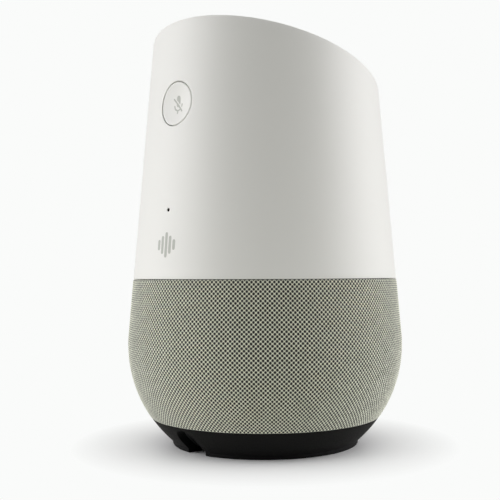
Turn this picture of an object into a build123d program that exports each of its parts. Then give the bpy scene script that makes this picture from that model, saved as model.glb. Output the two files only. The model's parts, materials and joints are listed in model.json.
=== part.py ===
from build123d import *
import math
import os

# Smart speaker: a tapered two-part table speaker with a slanted top and a fabric-covered lower half.
# Units are millimetres. The origin is the centre of the foot on the table, +Z is up, the low side of
# the slanted top faces -Y and the mute button, the power inlet and the cable notch face +Y.

# --- Outer form: one arc from foot to belly, running smoothly into a slim cone
BELLY_R = 48.2
BELLY_Z = 35.0
ARC_R = 44.2
TAPER = 4.85
HEIGHT = 142.8
TOP_TILT = 16.6
SEAM_Z = 57.8
SEAM_GAP = 0.4
FOOT_H = 9.6
FOOT_EDGE = 1.0

# --- Fits and general clearances
RUNNING = 0.25
SOFT_GAP = 0.3
SEAT_GAP = 0.1
THREAD_GAP = 0.05
THROUGH_GAP = 0.3
TIP_GAP = 0.5

# --- How far a cutting shape runs past the face it cuts
OVER = 1

# --- Screws: head radius, head height and socket as shares of the shank's radius
HEAD_WIDE = 1.9
HEAD_HIGH = 1.2
SOCKET_WIDE = 0.9
SOCKET_FLOOR = 0.4

# --- Base: fabric sleeve on a slotted shell, with a floor ring and a rubber foot
FABRIC_T = 0.8
GRILLE_T = 1.8
SLOTS = 30
SLOT_W = 4.0
SLOT_END = 5.4
HOOP_H = 3.2
FOOT_SOLE = 1.6
FLOOR_TOP = 12.0
FLOOR_BORE_R = 27.0
NOTCH_W = 8.4
NOTCH_H = 8.8
MAGNET_R = 4.0
MAGNET_H = 2.4
MAGNET_RING_R = 32.6
MAGNETS = 4

# --- Upper shell and its fixings
WALL = 2.4
RIM_T = 1.5
BOSS_R = 3.4
BOSS_H = 13.0
SHELL_SCREW_R = 1.25
SHELL_SCREW_L = 11.0
PINHOLE_R = 0.6
PINHOLE_RISE = 22.3

# --- Slanted top: touch panel, light guide, board and carrier, as depths below the rim
PANEL_DROP = 0.35
PANEL_T = 1.8
PANEL_FIT = 0.15
GUIDE_T = 1.2
LED = 1.6
LED_H = 0.7
LEDS = 12
LED_RING_R = 21.0
LED_FIRST_TURN = 15
TOP_BOARD_T = 1.2
TOP_BOARD_INSET = 5.0
CARRIER_T = 2.0
CARRIER_W = 8.0
TOP_BOSS_R = 2.2
TOP_BOSS_INSET = 9.2
MIC_X = 14.0
MIC_PORT_R = 0.5
MIC_W = 4.0
MIC_D = 3.0
MIC_H = 1.1
MIC_SEAL_R = 2.0
MIC_SEAL_BORE_R = 0.8

# --- Mute button and its switch, as distances along the button's axis
BUTTON_R = 7.15
BUTTON_GAP = 0.3
BUTTON_DROP = 27.9
BUTTON_SINK = 0.12
BUTTON_T = 2.2
BUTTON_TRAVEL = 0.6
BUTTON_LIP = 1.45
BUTTON_FLANGE_T = 0.9
STEM_R = 2.0
STEM_L = 2.4
PLUNGER_R = 1.3
PLUNGER_L = 1.2
SWITCH_W = 6.2
SWITCH_H = 3.0
SWITCH_BOARD_T = 1.2
SWITCH_BOARD_EDGE = 3.0
SWITCH_BOARD_H = 12.0
SWITCH_BOSS_GAP = 2.0
SWITCH_BOSS_R = 2.4
SWITCH_SCREW_L = 4.0

# --- Speaker box: three flat faces with rounded corners between them
UNIT_CLEAR = 1.0
SIDE_CLEAR = 0.8
BOX_WALL = 2.2
BOX_FLOOR = 2.4
BOX_MARGIN = 0.9
BOX_BOSS_R = 3.0
BOX_BOSS_H = 12.0
BOX_BOSS_BITE = 0.6
BOX_SCREW_R = 1.1
BOX_SCREW_L = 9.0
BOX_SCREW_SPREAD = 12.0
GASKET_T = 0.6
LID_T = 3.0
LID_CLEAR = 0.4

# --- Speakers: outer ring, and depths measured inwards from the box's flat face
FRAME_R = 22.5
FLANGE_W = 3.2
FLANGE_T = 2.5
RING_GASKET_T = 0.5
SPEAKER_SCREW_R = 0.8
SPEAKER_SCREW_L = 4.6
SPEAKER_SCREWS = 4
BASKET_T = 1.2
BASKET_DEPTH = 10.5
BASKET_WINDOW_W = 8.0
SURROUND_T = 0.5
SURROUND_LIP = 0.7
ROLL_SINK = 1.0
ROLL_W = 3.4
CONE_T = 0.6
CONE_DEPTH = 6.4
DOME_OVERLAP = 1.4
DOME_RISE = 2.6
DOME_SEAT = 1.7
DOME_EDGE = 0.2
COIL_R = 7.2
COIL_T = 0.4
COIL_L = 8.0
COIL_GAP = 0.35
SPIDER_T = 0.4
SPIDER_WAVES = 3
SPIDER_OVERLAP = 0.2
PLATE_T = 3.0
PLATE_R = 12.8
DRIVER_MAGNET_R = 13.5
DRIVER_MAGNET_H = 7.0
MAGNET_BORE_GAP = 1.4
YOKE_T = 3.0
PASSIVE_ROLL_W = 4.0
PASSIVE_T = 1.4
PASSIVE_MASS_R = 8.0
PASSIVE_MASS_H = 2.6
PASSIVE_DEPTH = 3.0
TERMINAL_W = 10.0
TERMINAL_T = 2.0
TAG_L = 2.4
WIRE_R = 0.6
WIRE_X = (-2.0, 2.0)
WIRE_Y = 12.0

# --- Main board stack on the speaker box's lid
STANDOFF_R = 3.0
STANDOFF_H = 4.0
STANDOFF_RING_R = 29.0
BOARD_T = 1.6
BOARD_EDGE = 0.6
CAN_W = 30.0
CAN_D = 24.0
CAN_H = 2.6
CAN_T = 0.3
PAD_W = 18.0
PAD_T = 1.0
SPREADER_T = 1.6
SPREADER_R = 33.0
BOARD_SCREW_R = 1.1
ANTENNA_T = 0.25
ANTENNA_W = 18.0
ANTENNA_SINK = 13.6
ANTENNA_H = 18.0
COAX_R = 0.6
COAX_BENDS = (0.37, 0.63)
WIRE_BEND = 3
RIBBON_T = 0.3
RIBBON_BEND = 1.5
RIBBON_LIE = 6.0
RIBBON_W = 9.0
MUTE_RIBBON_W = 5.0
SOCKET_H = 1.8
SOCKET_D = 4.0
TOUCH_SOCKET_Y = -24.0
MUTE_SOCKET_Y = 30.0
SOCKET_EDGE = 1.5

# --- Components on the main board, each as x, y, width, depth and height
CHIPS = [
    (0, 0, 13, 13, 1.4),
    (-10.6, 0, 6, 10, 1.0),
    (10.6, 0, 6, 10, 1.0),
    (-27, 0, 8, 8, 1.2),
    (27, 0, 7, 7, 1.2),
    (-8, 20, 5, 5, 2.4),
    (8, 20, 5, 5, 2.4),
    (-14, -21, 4, 7, 1.6),
    (0, TOUCH_SOCKET_Y, RIBBON_W + 2 * SOCKET_EDGE, SOCKET_D, SOCKET_H),
    (0, MUTE_SOCKET_Y, MUTE_RIBBON_W + 2 * SOCKET_EDGE, SOCKET_D, SOCKET_H),
]

# --- Bottom of the unit: cap, power inlet and service port
CAP_R = 26.4
CAP_LOW = 1.2
CAP_WALL = 1.8
TRENCH_W = 13.0
TRENCH_HIGH = 10.4
TRENCH_Y = -8.4
INLET_Z = 5.2
JACK_W = 8.4
JACK_L = 13.0
JACK_BORE_R = 2.95
JACK_BORE_L = 9.0
PIN_R = 1.05
PIN_L = 8.5
INLET_BOARD_T = 1.2
INLET_BOARD_X = 11.0
INLET_WIRE_X = (-4.0, 4.0)
PORT_X = 8.6
PORT_W = 7.6
PORT_T = 3.0
PORT_WALL = 0.4
PORT_SLOT_EDGE = 0.3
CAP_SCREW_R = 1.1
CAP_SCREW_RING_R = 20.5

# --- Heights and places that follow from the sizes above
SLOPE = math.radians(TAPER)
ARC_X = BELLY_R - ARC_R
SKIN = FABRIC_T + GRILLE_T
BASE_TOP = SEAM_Z - SEAM_GAP
FULL_TURN = 360


def radius(z, inset=0.0):
    """Radius of the outer form at a height, moved inwards by inset: an arc low down, a cone above."""
    arc = ARC_R - inset
    bend_z = BELLY_Z + arc * math.sin(SLOPE)
    if z < bend_z:
        return ARC_X + math.sqrt(arc ** 2 - (z - BELLY_Z) ** 2)
    return ARC_X + arc * math.cos(SLOPE) - (z - bend_z) * math.tan(SLOPE)


TOP_AXIS_Z = HEIGHT - radius(HEIGHT) * math.tan(math.radians(TOP_TILT))
OVER_TOP = HEIGHT + BELLY_R
TOP_BOSS_RING_R = radius(TOP_AXIS_Z) - TOP_BOSS_INSET
BUTTON_Z = HEIGHT - BUTTON_DROP
BUTTON_FLANGE_R = BUTTON_R + BUTTON_LIP
SWITCH_BOSS_X = BUTTON_FLANGE_R + SWITCH_BOSS_R + SWITCH_BOSS_GAP
SWITCH_BOARD_W = 2 * (SWITCH_BOSS_X + SWITCH_BOARD_EDGE)
PINHOLE_Z = SEAM_Z + PINHOLE_RISE
UNIT_R = radius(BASE_TOP, SKIN) - UNIT_CLEAR
FLANGE_OUT = RING_GASKET_T + FLANGE_T
FLAT = math.sqrt(UNIT_R ** 2 - (FRAME_R + SEAT_GAP) ** 2) - FLANGE_OUT
BOX_LOW = FLOOR_TOP + SEAT_GAP
SPEAKER_Z = BOX_LOW + BOX_MARGIN + FRAME_R
BOX_HIGH = SPEAKER_Z + FRAME_R + BOX_MARGIN
LID_LOW = BOX_HIGH + GASKET_T
LID_HIGH = LID_LOW + LID_T
LID_R = min(radius(LID_HIGH, WALL), radius(BASE_TOP, SKIN)) - LID_CLEAR
BOSS_RING_R = LID_R - BOSS_R
BOSS_TOP = max(LID_HIGH, SEAM_Z) + BOSS_H
BOX_BOSS_RING_R = UNIT_R - BOX_WALL - BOX_BOSS_R + BOX_BOSS_BITE
FRAME_HOLE_R = FRAME_R - FLANGE_W
BOARD_R = BOSS_RING_R - BOSS_R - BOARD_EDGE
BOARD_LOW = LID_HIGH + STANDOFF_H
BOARD_HIGH = BOARD_LOW + BOARD_T
ANTENNA_LOW = (BOARD_HIGH + TOP_AXIS_Z) / 2 - ANTENNA_SINK
SPREADER_LOW = BOARD_HIGH + CAN_H + PAD_T
SPREADER_HIGH = SPREADER_LOW + SPREADER_T
PANEL_LOW = -PANEL_DROP - PANEL_T
GUIDE_LOW = PANEL_LOW - GUIDE_T
TOP_BOARD_HIGH = GUIDE_LOW - LED_H - SOFT_GAP
TOP_BOARD_LOW = TOP_BOARD_HIGH - TOP_BOARD_T
CARRIER_LOW = TOP_BOARD_LOW - CARRIER_T
FLANGE_HIGH = -BUTTON_T - BUTTON_R ** 2 / (2 * radius(BUTTON_Z)) - BUTTON_GAP
STEM_LOW = FLANGE_HIGH - BUTTON_FLANGE_T - STEM_L
PLUNGER_LOW = STEM_LOW - PLUNGER_L
SWITCH_TOP = STEM_LOW - BUTTON_TRAVEL - SEAT_GAP
SWITCH_BOARD_TOP = SWITCH_TOP - SWITCH_H
ROLL_SEAT = FLANGE_OUT - SURROUND_T - ROLL_SINK
CONE_EDGE_R = FRAME_HOLE_R - ROLL_W
NECK_H = ROLL_SEAT - CONE_DEPTH
BASKET_LOW = RING_GASKET_T - BASKET_DEPTH
PLATE_LOW = BASKET_LOW - PLATE_T
DRIVER_MAGNET_LOW = PLATE_LOW - DRIVER_MAGNET_H
YOKE_LOW = DRIVER_MAGNET_LOW - YOKE_T
PASSIVE_EDGE_R = FRAME_HOLE_R - PASSIVE_ROLL_W
TAG_H = PLATE_LOW + PLATE_T / 2
MAGNET_TURNS = [FULL_TURN / MAGNETS * (step + 0.5) for step in range(MAGNETS)]
FACE_TURNS = {"driver": 0, "passive_right": 120, "passive_left": 240}
STANDOFF_TURNS = [45, 135, 225, 315]
CAP_SCREW_TURNS = [15, 165, 215, 325]
TOP = Pos(0, 0, TOP_AXIS_Z) * Rot(TOP_TILT, 0, 0)
BUTTON = Pos(0, radius(BUTTON_Z), BUTTON_Z) * Rot(TAPER - 90, 0, 0)


# --- Shared shapes

def form(inset, low, high):
    """Solid of the outer form, moved inwards by inset, between two heights."""
    bend_z = BELLY_Z + (ARC_R - inset) * math.sin(SLOPE)
    path = [Line((0, low), (radius(low, inset), low))]
    if low < bend_z:
        stop = min(high, bend_z)
        path.append(ThreePointArc(*[(radius(z, inset), z) for z in (low, (low + stop) / 2, stop)]))
    if high > bend_z:
        start = max(low, bend_z)
        path.append(Line((radius(start, inset), start), (radius(high, inset), high)))
    path.append(Line((radius(high, inset), high), (0, high)))
    path.append(Line((0, high), (0, low)))
    return revolve(Plane.XZ * make_face(path), Axis.Z)


def rod(r, low, high):
    """Upright cylinder between two heights."""
    return Pos(0, 0, (low + high) / 2) * Cylinder(r, high - low)


def tube(r_out, r_in, low, high):
    """Upright tube between two heights."""
    return rod(r_out, low, high) - rod(r_in, low, high)


def block(x, y, z):
    """Box from its lowest and highest value along each axis."""
    centre = [(low + high) / 2 for low, high in (x, y, z)]
    return Pos(*centre) * Box(*[high - low for low, high in (x, y, z)])


def turned(*points):
    """Solid turned about Z from an outline of (radius, height) points."""
    return revolve(Plane.XZ * make_face(Polyline(*points, close=True)), Axis.Z)


def ring_places(r, turns):
    """Places on a circle, one for each turn in degrees, each facing outwards."""
    return [Rot(0, 0, turn) * Pos(r, 0, 0) for turn in turns]


def screw(shank_r, length):
    """Pan-head screw with a hexagon socket: its seat at height 0 and its shank downwards."""
    head_r = shank_r * HEAD_WIDE
    head_h = shank_r * HEAD_HIGH
    socket = Pos(0, 0, head_h * SOCKET_FLOOR) * extrude(RegularPolygon(shank_r * SOCKET_WIDE, 6), head_h)
    return rod(head_r, 0, head_h) + rod(shank_r, -length, 0) - socket


def top_layer(inset, low, high):
    """Slice of the outer form, moved in by inset, between two depths below the slanted rim."""
    slab = TOP * block([-2 * BELLY_R, 2 * BELLY_R], [-2 * BELLY_R, 2 * BELLY_R], [low, high])
    return form(inset, SEAM_Z, OVER_TOP) & slab


def face_place(turn):
    """Place at the middle of one flat of the speaker box, with Z pointing out of the box."""
    return Rot(0, 0, turn) * Pos(0, -FLAT, SPEAKER_Z) * Rot(90, 0, 0)


def speaker_box(inset, low, high):
    """Round tub with three flats, moved inwards by inset, between two heights."""
    solid = form(SKIN + SIDE_CLEAR + inset, low, high) & rod(UNIT_R - inset, low, high)
    for turn in FACE_TURNS.values():
        solid -= Rot(0, 0, turn) * block([-BELLY_R, BELLY_R], [-2 * BELLY_R, inset - FLAT], [low, high])
    return solid


def cable_notch(y_from, y_to):
    """Arched passage for the power cable: straight sides under a half round."""
    arch_z = NOTCH_H - NOTCH_W / 2
    sides = block([-NOTCH_W / 2, NOTCH_W / 2], [y_from, y_to], [-OVER, arch_z])
    crown = Pos(0, (y_from + y_to) / 2, arch_z) * Rot(90, 0, 0) * Cylinder(NOTCH_W / 2, y_to - y_from)
    return sides + crown


def surround(r_in, r_out):
    """Rubber half roll between a moving edge and a frame, with a flat lip on each side."""
    middle = (r_in + r_out) / 2
    roll = (r_out - r_in) / 2
    inner = roll - SURROUND_T
    foot = math.sqrt(roll ** 2 - SURROUND_T ** 2)
    low_in = (r_in - SURROUND_LIP, 0)
    high_in = (r_in - SURROUND_LIP, SURROUND_T)
    high_out = (r_out + SURROUND_LIP, SURROUND_T)
    low_out = (r_out + SURROUND_LIP, 0)
    path = [
        Line(low_in, high_in),
        Line(high_in, (middle - foot, SURROUND_T)),
        ThreePointArc((middle - foot, SURROUND_T), (middle, roll), (middle + foot, SURROUND_T)),
        Line((middle + foot, SURROUND_T), high_out),
        Line(high_out, low_out),
        Line(low_out, (middle + inner, 0)),
        ThreePointArc((middle + inner, 0), (middle, inner), (middle - inner, 0)),
        Line((middle - inner, 0), low_in),
    ]
    return revolve(Plane.XZ * make_face(path), Axis.Z)


def wire(r, *points):
    """Round wire along straight runs joined by arcs."""
    path = FilletPolyline(*points, radius=WIRE_BEND * r)
    return sweep(Plane(origin=path @ 0, z_dir=path % 0) * Circle(r), path)


def ribbon(x, width, *points):
    """Flat flexible cable along a path of (y, z) points, centred on x."""
    path = FilletPolyline(*points, radius=RIBBON_BEND)
    return Pos(x - width / 2, 0, 0) * extrude(Plane.YZ * trace(path, RIBBON_T), width)


# --- Base

def base_fabric():
    """Stretched fabric sleeve over the base."""
    return form(0, FOOT_H, BASE_TOP) - form(FABRIC_T, FOOT_H - OVER, BASE_TOP + OVER)


def base_grille_shell():
    """Rigid shell under the fabric, with two rows of upright slots that let the sound out."""
    shell = form(FABRIC_T, FOOT_H, BASE_TOP) - form(SKIN, FOOT_H - OVER, BASE_TOP + OVER)
    middle = (FLOOR_TOP + BASE_TOP) / 2
    rows = [
        (FLOOR_TOP + SLOT_END, middle - HOOP_H / 2),
        (middle + HOOP_H / 2, BASE_TOP - SLOT_END),
    ]
    cuts = []
    for low, high in rows:
        slot = block([BELLY_R / 2, 2 * BELLY_R], [-SLOT_W / 2, SLOT_W / 2], [low, high])
        cuts += [Rot(0, 0, FULL_TURN / SLOTS * step) * slot for step in range(SLOTS)]
    return shell - cuts


def base_floor():
    """Rigid floor ring inside the foot, with pockets for the holding magnets."""
    floor = form(SKIN, FOOT_SOLE, FLOOR_TOP) - rod(FLOOR_BORE_R, 0, FLOOR_TOP + OVER)
    floor -= cable_notch(0, 2 * BELLY_R)
    pocket = rod(MAGNET_R, FLOOR_TOP - MAGNET_H, FLOOR_TOP + OVER)
    return floor - [place * pocket for place in ring_places(MAGNET_RING_R, MAGNET_TURNS)]


def foot_ring():
    """Rubber foot: a sole under the floor ring and a band round it, open at the cable notch."""
    foot = form(0, 0, FOOT_H)
    foot = fillet(foot.edges().sort_by(Axis.Z)[0], FOOT_EDGE)
    foot -= form(SKIN, FOOT_SOLE, FOOT_H + OVER)
    return foot - rod(FLOOR_BORE_R, -OVER, FOOT_SOLE + OVER) - cable_notch(0, 2 * BELLY_R)


def base_magnets():
    """Disc magnets in the floor ring."""
    disc = rod(MAGNET_R, FLOOR_TOP - MAGNET_H, FLOOR_TOP)
    return [place * disc for place in ring_places(MAGNET_RING_R, MAGNET_TURNS)]


# --- Upper shell and the slanted top

def upper_shell():
    """Moulded shell with a slanted rim, inner screw bosses, the button hole and a pinhole."""
    shell = form(0, SEAM_Z, OVER_TOP) - form(WALL, SEAM_Z - OVER, OVER_TOP + OVER)
    above = TOP * block([-2 * BELLY_R, 2 * BELLY_R], [-2 * BELLY_R, 2 * BELLY_R], [0, 4 * BELLY_R])
    shell -= above
    shell -= top_layer(RIM_T, PANEL_LOW, OVER)
    boss = rod(BOSS_R, LID_HIGH, BOSS_TOP) & Pos(-BOSS_RING_R, 0, 0) * form(WALL / 2, LID_HIGH, OVER_TOP)
    pilot = rod(SHELL_SCREW_R + THREAD_GAP, LID_HIGH - OVER, LID_HIGH + SHELL_SCREW_L)
    places = ring_places(BOSS_RING_R, [turn - 90 for turn in FACE_TURNS.values()])
    shell += [place * boss for place in places]
    shell -= [place * pilot for place in places]
    inner = form(WALL / 2, SEAM_Z, OVER_TOP)
    for x in (-SWITCH_BOSS_X, SWITCH_BOSS_X):
        shell += (BUTTON * Pos(x, 0, 0) * rod(SWITCH_BOSS_R, SWITCH_BOARD_TOP, 0)) & inner
        shell -= BUTTON * Pos(x, 0, 0) * rod(BOARD_SCREW_R + THREAD_GAP, SWITCH_BOARD_TOP, -WALL - OVER)
    shell -= BUTTON * rod(BUTTON_R + BUTTON_GAP, -3 * WALL, WALL)
    pinhole = Pos(0, radius(PINHOLE_Z), PINHOLE_Z) * Rot(TAPER - 90, 0, 0)
    return shell - pinhole * rod(PINHOLE_R, -2 * WALL, WALL)


def top_bosses(r, low, high):
    """Round posts at the carrier's screw places, between two depths below the rim."""
    return [TOP * place * rod(r, low, high) for place in ring_places(TOP_BOSS_RING_R, STANDOFF_TURNS)]


def mic_ports(r, low, high):
    """Round posts or holes on the two microphone axes, between two depths below the rim."""
    return [TOP * Pos(x, 0, 0) * rod(r, low, high) for x in (-MIC_X, MIC_X)]


def top_touch_panel():
    """Touch panel in the rim's rebate, with screw bosses and two microphone ports."""
    panel = top_layer(RIM_T + PANEL_FIT, PANEL_LOW, -PANEL_DROP)
    panel += top_bosses(TOP_BOSS_R, TOP_BOARD_LOW, PANEL_LOW)
    panel -= top_bosses(BOARD_SCREW_R + THREAD_GAP, TOP_BOARD_LOW - OVER, PANEL_LOW)
    return panel - mic_ports(MIC_PORT_R, PANEL_LOW - OVER, OVER)


def led_light_guide():
    """Milky plate that spreads the indicator light, against the panel's underside."""
    guide = top_layer(TOP_BOARD_INSET, GUIDE_LOW, PANEL_LOW)
    guide -= top_bosses(TOP_BOSS_R + THROUGH_GAP, GUIDE_LOW - OVER, PANEL_LOW + OVER)
    return guide - mic_ports(MIC_SEAL_R + THROUGH_GAP, GUIDE_LOW - OVER, PANEL_LOW + OVER)


def touch_light_board():
    """Circuit board for touch sensing, lights and microphones."""
    board = top_layer(TOP_BOARD_INSET, TOP_BOARD_LOW, TOP_BOARD_HIGH)
    board -= top_bosses(TOP_BOSS_R + THROUGH_GAP, TOP_BOARD_LOW - OVER, TOP_BOARD_HIGH + OVER)
    return board - mic_ports(MIC_PORT_R, TOP_BOARD_LOW - OVER, TOP_BOARD_HIGH + OVER)


def indicator_leds():
    """Light-emitting diodes in a ring on the touch board."""
    body = block([-LED / 2, LED / 2], [-LED / 2, LED / 2], [TOP_BOARD_HIGH, TOP_BOARD_HIGH + LED_H])
    turns = [FULL_TURN / LEDS * step + LED_FIRST_TURN for step in range(LEDS)]
    return [TOP * place * body for place in ring_places(LED_RING_R, turns)]


def microphones():
    """Microphone cans under the touch board, each on its port."""
    can = block([-MIC_W / 2, MIC_W / 2], [-MIC_D / 2, MIC_D / 2], [TOP_BOARD_LOW - MIC_H, TOP_BOARD_LOW])
    return [TOP * Pos(x, 0, 0) * can for x in (-MIC_X, MIC_X)]


def mic_gaskets():
    """Soft tubes that seal each microphone port between the board and the panel."""
    ring = tube(MIC_SEAL_R, MIC_SEAL_BORE_R, TOP_BOARD_HIGH, PANEL_LOW)
    return [TOP * Pos(x, 0, 0) * ring for x in (-MIC_X, MIC_X)]


def panel_carrier():
    """Plastic frame that clamps the touch board up against the panel's bosses."""
    ring = top_layer(WALL + LID_CLEAR, CARRIER_LOW, TOP_BOARD_LOW)
    ring -= top_layer(WALL + CARRIER_W, CARRIER_LOW - OVER, TOP_BOARD_LOW + OVER)
    return ring - top_bosses(BOARD_SCREW_R + THROUGH_GAP, CARRIER_LOW - OVER, TOP_BOARD_LOW + OVER)


def panel_carrier_screws():
    """Screws up through the carrier into the panel's bosses."""
    piece = Pos(0, 0, CARRIER_LOW) * Rot(180, 0, 0) * screw(BOARD_SCREW_R, CARRIER_T + GUIDE_T)
    return [TOP * place * piece for place in ring_places(TOP_BOSS_RING_R, STANDOFF_TURNS)]


# --- Mute button

def mute_button():
    """Round button cap flush in the shell, with a retaining flange and a stem."""
    cap = BUTTON * rod(BUTTON_R, FLANGE_HIGH - BUTTON_FLANGE_T, WALL)
    cap &= form(BUTTON_SINK, SEAM_Z, OVER_TOP)
    flange = BUTTON * rod(BUTTON_FLANGE_R, FLANGE_HIGH - BUTTON_FLANGE_T, FLANGE_HIGH)
    flange &= form(WALL + SOFT_GAP, SEAM_Z, OVER_TOP)
    return cap + flange + BUTTON * rod(STEM_R, STEM_LOW, FLANGE_HIGH)


def mute_switch_plunger():
    """Plunger of the tactile switch, pushed by the button's stem."""
    return BUTTON * rod(PLUNGER_R, PLUNGER_LOW, STEM_LOW)


def mute_switch_body():
    """Tactile switch housing, open in the middle for its plunger."""
    half = SWITCH_W / 2
    housing = block([-half, half], [-half, half], [SWITCH_BOARD_TOP, SWITCH_TOP])
    return BUTTON * (housing - rod(PLUNGER_R + RUNNING, PLUNGER_LOW - BUTTON_TRAVEL - SOFT_GAP, 0))


def switch_board_outline(low, high):
    """Outline of the switch board between two distances along the button's axis."""
    return block([-SWITCH_BOARD_W / 2, SWITCH_BOARD_W / 2], [-SWITCH_BOARD_H / 2, SWITCH_BOARD_H / 2],
                 [low, high])


def mute_switch_board():
    """Small board that carries the switch on the shell's two bosses."""
    board = switch_board_outline(SWITCH_BOARD_TOP - SWITCH_BOARD_T, SWITCH_BOARD_TOP)
    through = rod(BOARD_SCREW_R + THROUGH_GAP, SWITCH_BOARD_TOP - SWITCH_BOARD_T - OVER, 0)
    for x in (-SWITCH_BOSS_X, SWITCH_BOSS_X):
        board -= Pos(x, 0, 0) * through
    return BUTTON * board


def switch_board_screws():
    """Screws that hold the switch board to the shell."""
    piece = Pos(0, 0, SWITCH_BOARD_TOP - SWITCH_BOARD_T) * Rot(180, 0, 0)
    piece *= screw(BOARD_SCREW_R, SWITCH_SCREW_L)
    return [BUTTON * Pos(x, 0, 0) * piece for x in (-SWITCH_BOSS_X, SWITCH_BOSS_X)]


# --- Speaker box

def box_screw_places():
    """Two lid screws in each rounded corner of the speaker box."""
    corners = [turn + 90 for turn in FACE_TURNS.values()]
    turns = [corner + side * BOX_SCREW_SPREAD for corner in corners for side in (-1, 1)]
    return ring_places(BOX_BOSS_RING_R, turns)


def enclosure_tub():
    """Sealed speaker box, open at the top, with a round hole in each flat."""
    tub = speaker_box(0, BOX_LOW, BOX_HIGH) - speaker_box(BOX_WALL, BOX_LOW + BOX_FLOOR, BOX_HIGH)
    outside = speaker_box(BOX_WALL / 2, BOX_LOW, BOX_HIGH)
    post = rod(BOX_BOSS_R, BOX_HIGH - BOX_BOSS_H, BOX_HIGH)
    pilot = rod(BOX_SCREW_R + THREAD_GAP, BOX_HIGH - BOX_SCREW_L, BOX_HIGH + OVER)
    tub += [(place * post) & outside for place in box_screw_places()]
    tub -= [place * pilot for place in box_screw_places()]
    for turn in FACE_TURNS.values():
        tub -= face_place(turn) * rod(FRAME_HOLE_R + THROUGH_GAP, -2 * BOX_WALL, OVER)
        tub -= [face_place(turn) * place * rod(SPEAKER_SCREW_R + THREAD_GAP, -2 * BOX_WALL, OVER)
                for place in speaker_screw_places()]
    cap_pilot = rod(CAP_SCREW_R + THREAD_GAP, BOX_LOW - OVER, BOX_LOW + BOX_FLOOR + OVER)
    pocket = rod(MAGNET_R, BOX_LOW - OVER, BOX_LOW + MAGNET_H / 2)
    tub -= [place * cap_pilot for place in ring_places(CAP_SCREW_RING_R, CAP_SCREW_TURNS)]
    return tub - [place * pocket for place in ring_places(MAGNET_RING_R, MAGNET_TURNS)]


def unit_magnets():
    """Steel-backed discs in the speaker box's floor, over the base's magnets."""
    disc = rod(MAGNET_R, BOX_LOW, BOX_LOW + MAGNET_H / 2)
    return [place * disc for place in ring_places(MAGNET_RING_R, MAGNET_TURNS)]


def enclosure_gasket():
    """Foam gasket between the speaker box and its lid."""
    gasket = speaker_box(0, BOX_HIGH, LID_LOW) - speaker_box(BOX_WALL, BOX_HIGH - OVER, LID_LOW + OVER)
    return gasket - [place * rod(BOX_SCREW_R + THROUGH_GAP, BOX_HIGH - OVER, LID_LOW + OVER)
                     for place in box_screw_places()]


def enclosure_lid():
    """Round lid of the speaker box, with standoffs for the main board and a wire hole."""
    lid = rod(LID_R, LID_LOW, LID_HIGH)
    lid += [place * rod(STANDOFF_R, LID_HIGH, BOARD_LOW) for place in standoff_places()]
    lid -= [place * rod(BOARD_SCREW_R + THREAD_GAP, LID_LOW + OVER, BOARD_LOW + OVER)
            for place in standoff_places()]
    lid -= [place * rod(BOX_SCREW_R + THROUGH_GAP, LID_LOW - OVER, LID_HIGH + OVER)
            for place in box_screw_places()]
    lid -= [place * rod(SHELL_SCREW_R + THROUGH_GAP, LID_LOW - OVER, LID_HIGH + OVER)
            for place in ring_places(BOSS_RING_R, [turn - 90 for turn in FACE_TURNS.values()])]
    wire_hole = rod(WIRE_R + SEAT_GAP, LID_LOW - OVER, LID_HIGH + OVER)
    return lid - [Pos(x, WIRE_Y, 0) * wire_hole for x in WIRE_X]


def standoff_places():
    """Places of the main board's standoffs and screws."""
    return ring_places(STANDOFF_RING_R, STANDOFF_TURNS)


def enclosure_screws():
    """Screws that clamp the lid on the speaker box."""
    piece = Pos(0, 0, LID_HIGH) * screw(BOX_SCREW_R, LID_T + GASKET_T + BOX_SCREW_L - 4 * TIP_GAP)
    return [place * piece for place in box_screw_places()]


def shell_screws():
    """Screws up through the lid into the upper shell's bosses."""
    piece = Pos(0, 0, LID_LOW) * Rot(180, 0, 0) * screw(SHELL_SCREW_R, LID_T + SHELL_SCREW_L - 4 * TIP_GAP)
    return [place * piece
            for place in ring_places(BOSS_RING_R, [turn - 90 for turn in FACE_TURNS.values()])]


# --- Speakers, in their own frame: height 0 is the box's flat face and Z points outwards

def speaker_screw_places():
    """Screw places round a speaker's flange."""
    turns = [FULL_TURN / SPEAKER_SCREWS * (step + 0.5) for step in range(SPEAKER_SCREWS)]
    return ring_places(FRAME_R - FLANGE_W / 2, turns)


def flange():
    """Flat outer ring of a speaker, with screw holes and a seat for the surround's lip."""
    ring = tube(FRAME_R, FRAME_HOLE_R - BASKET_T, RING_GASKET_T, FLANGE_OUT)
    ring -= rod(FRAME_HOLE_R + SURROUND_LIP, ROLL_SEAT, FLANGE_OUT + OVER)
    return ring - [place * rod(SPEAKER_SCREW_R + THROUGH_GAP / 2, 0, FLANGE_OUT + OVER)
                   for place in speaker_screw_places()]


def speaker_gaskets():
    """Foam rings between each speaker and the box."""
    ring = tube(FRAME_R, FRAME_HOLE_R + THROUGH_GAP, 0, RING_GASKET_T)
    ring -= [place * rod(SPEAKER_SCREW_R + THROUGH_GAP, -OVER, RING_GASKET_T + OVER)
             for place in speaker_screw_places()]
    return [face_place(turn) * ring for turn in FACE_TURNS.values()]


def speaker_screws():
    """Screws that hold the three speakers to the box."""
    piece = Pos(0, 0, FLANGE_OUT) * screw(SPEAKER_SCREW_R, SPEAKER_SCREW_L)
    return [face_place(turn) * place * piece
            for turn in FACE_TURNS.values() for place in speaker_screw_places()]


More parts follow.
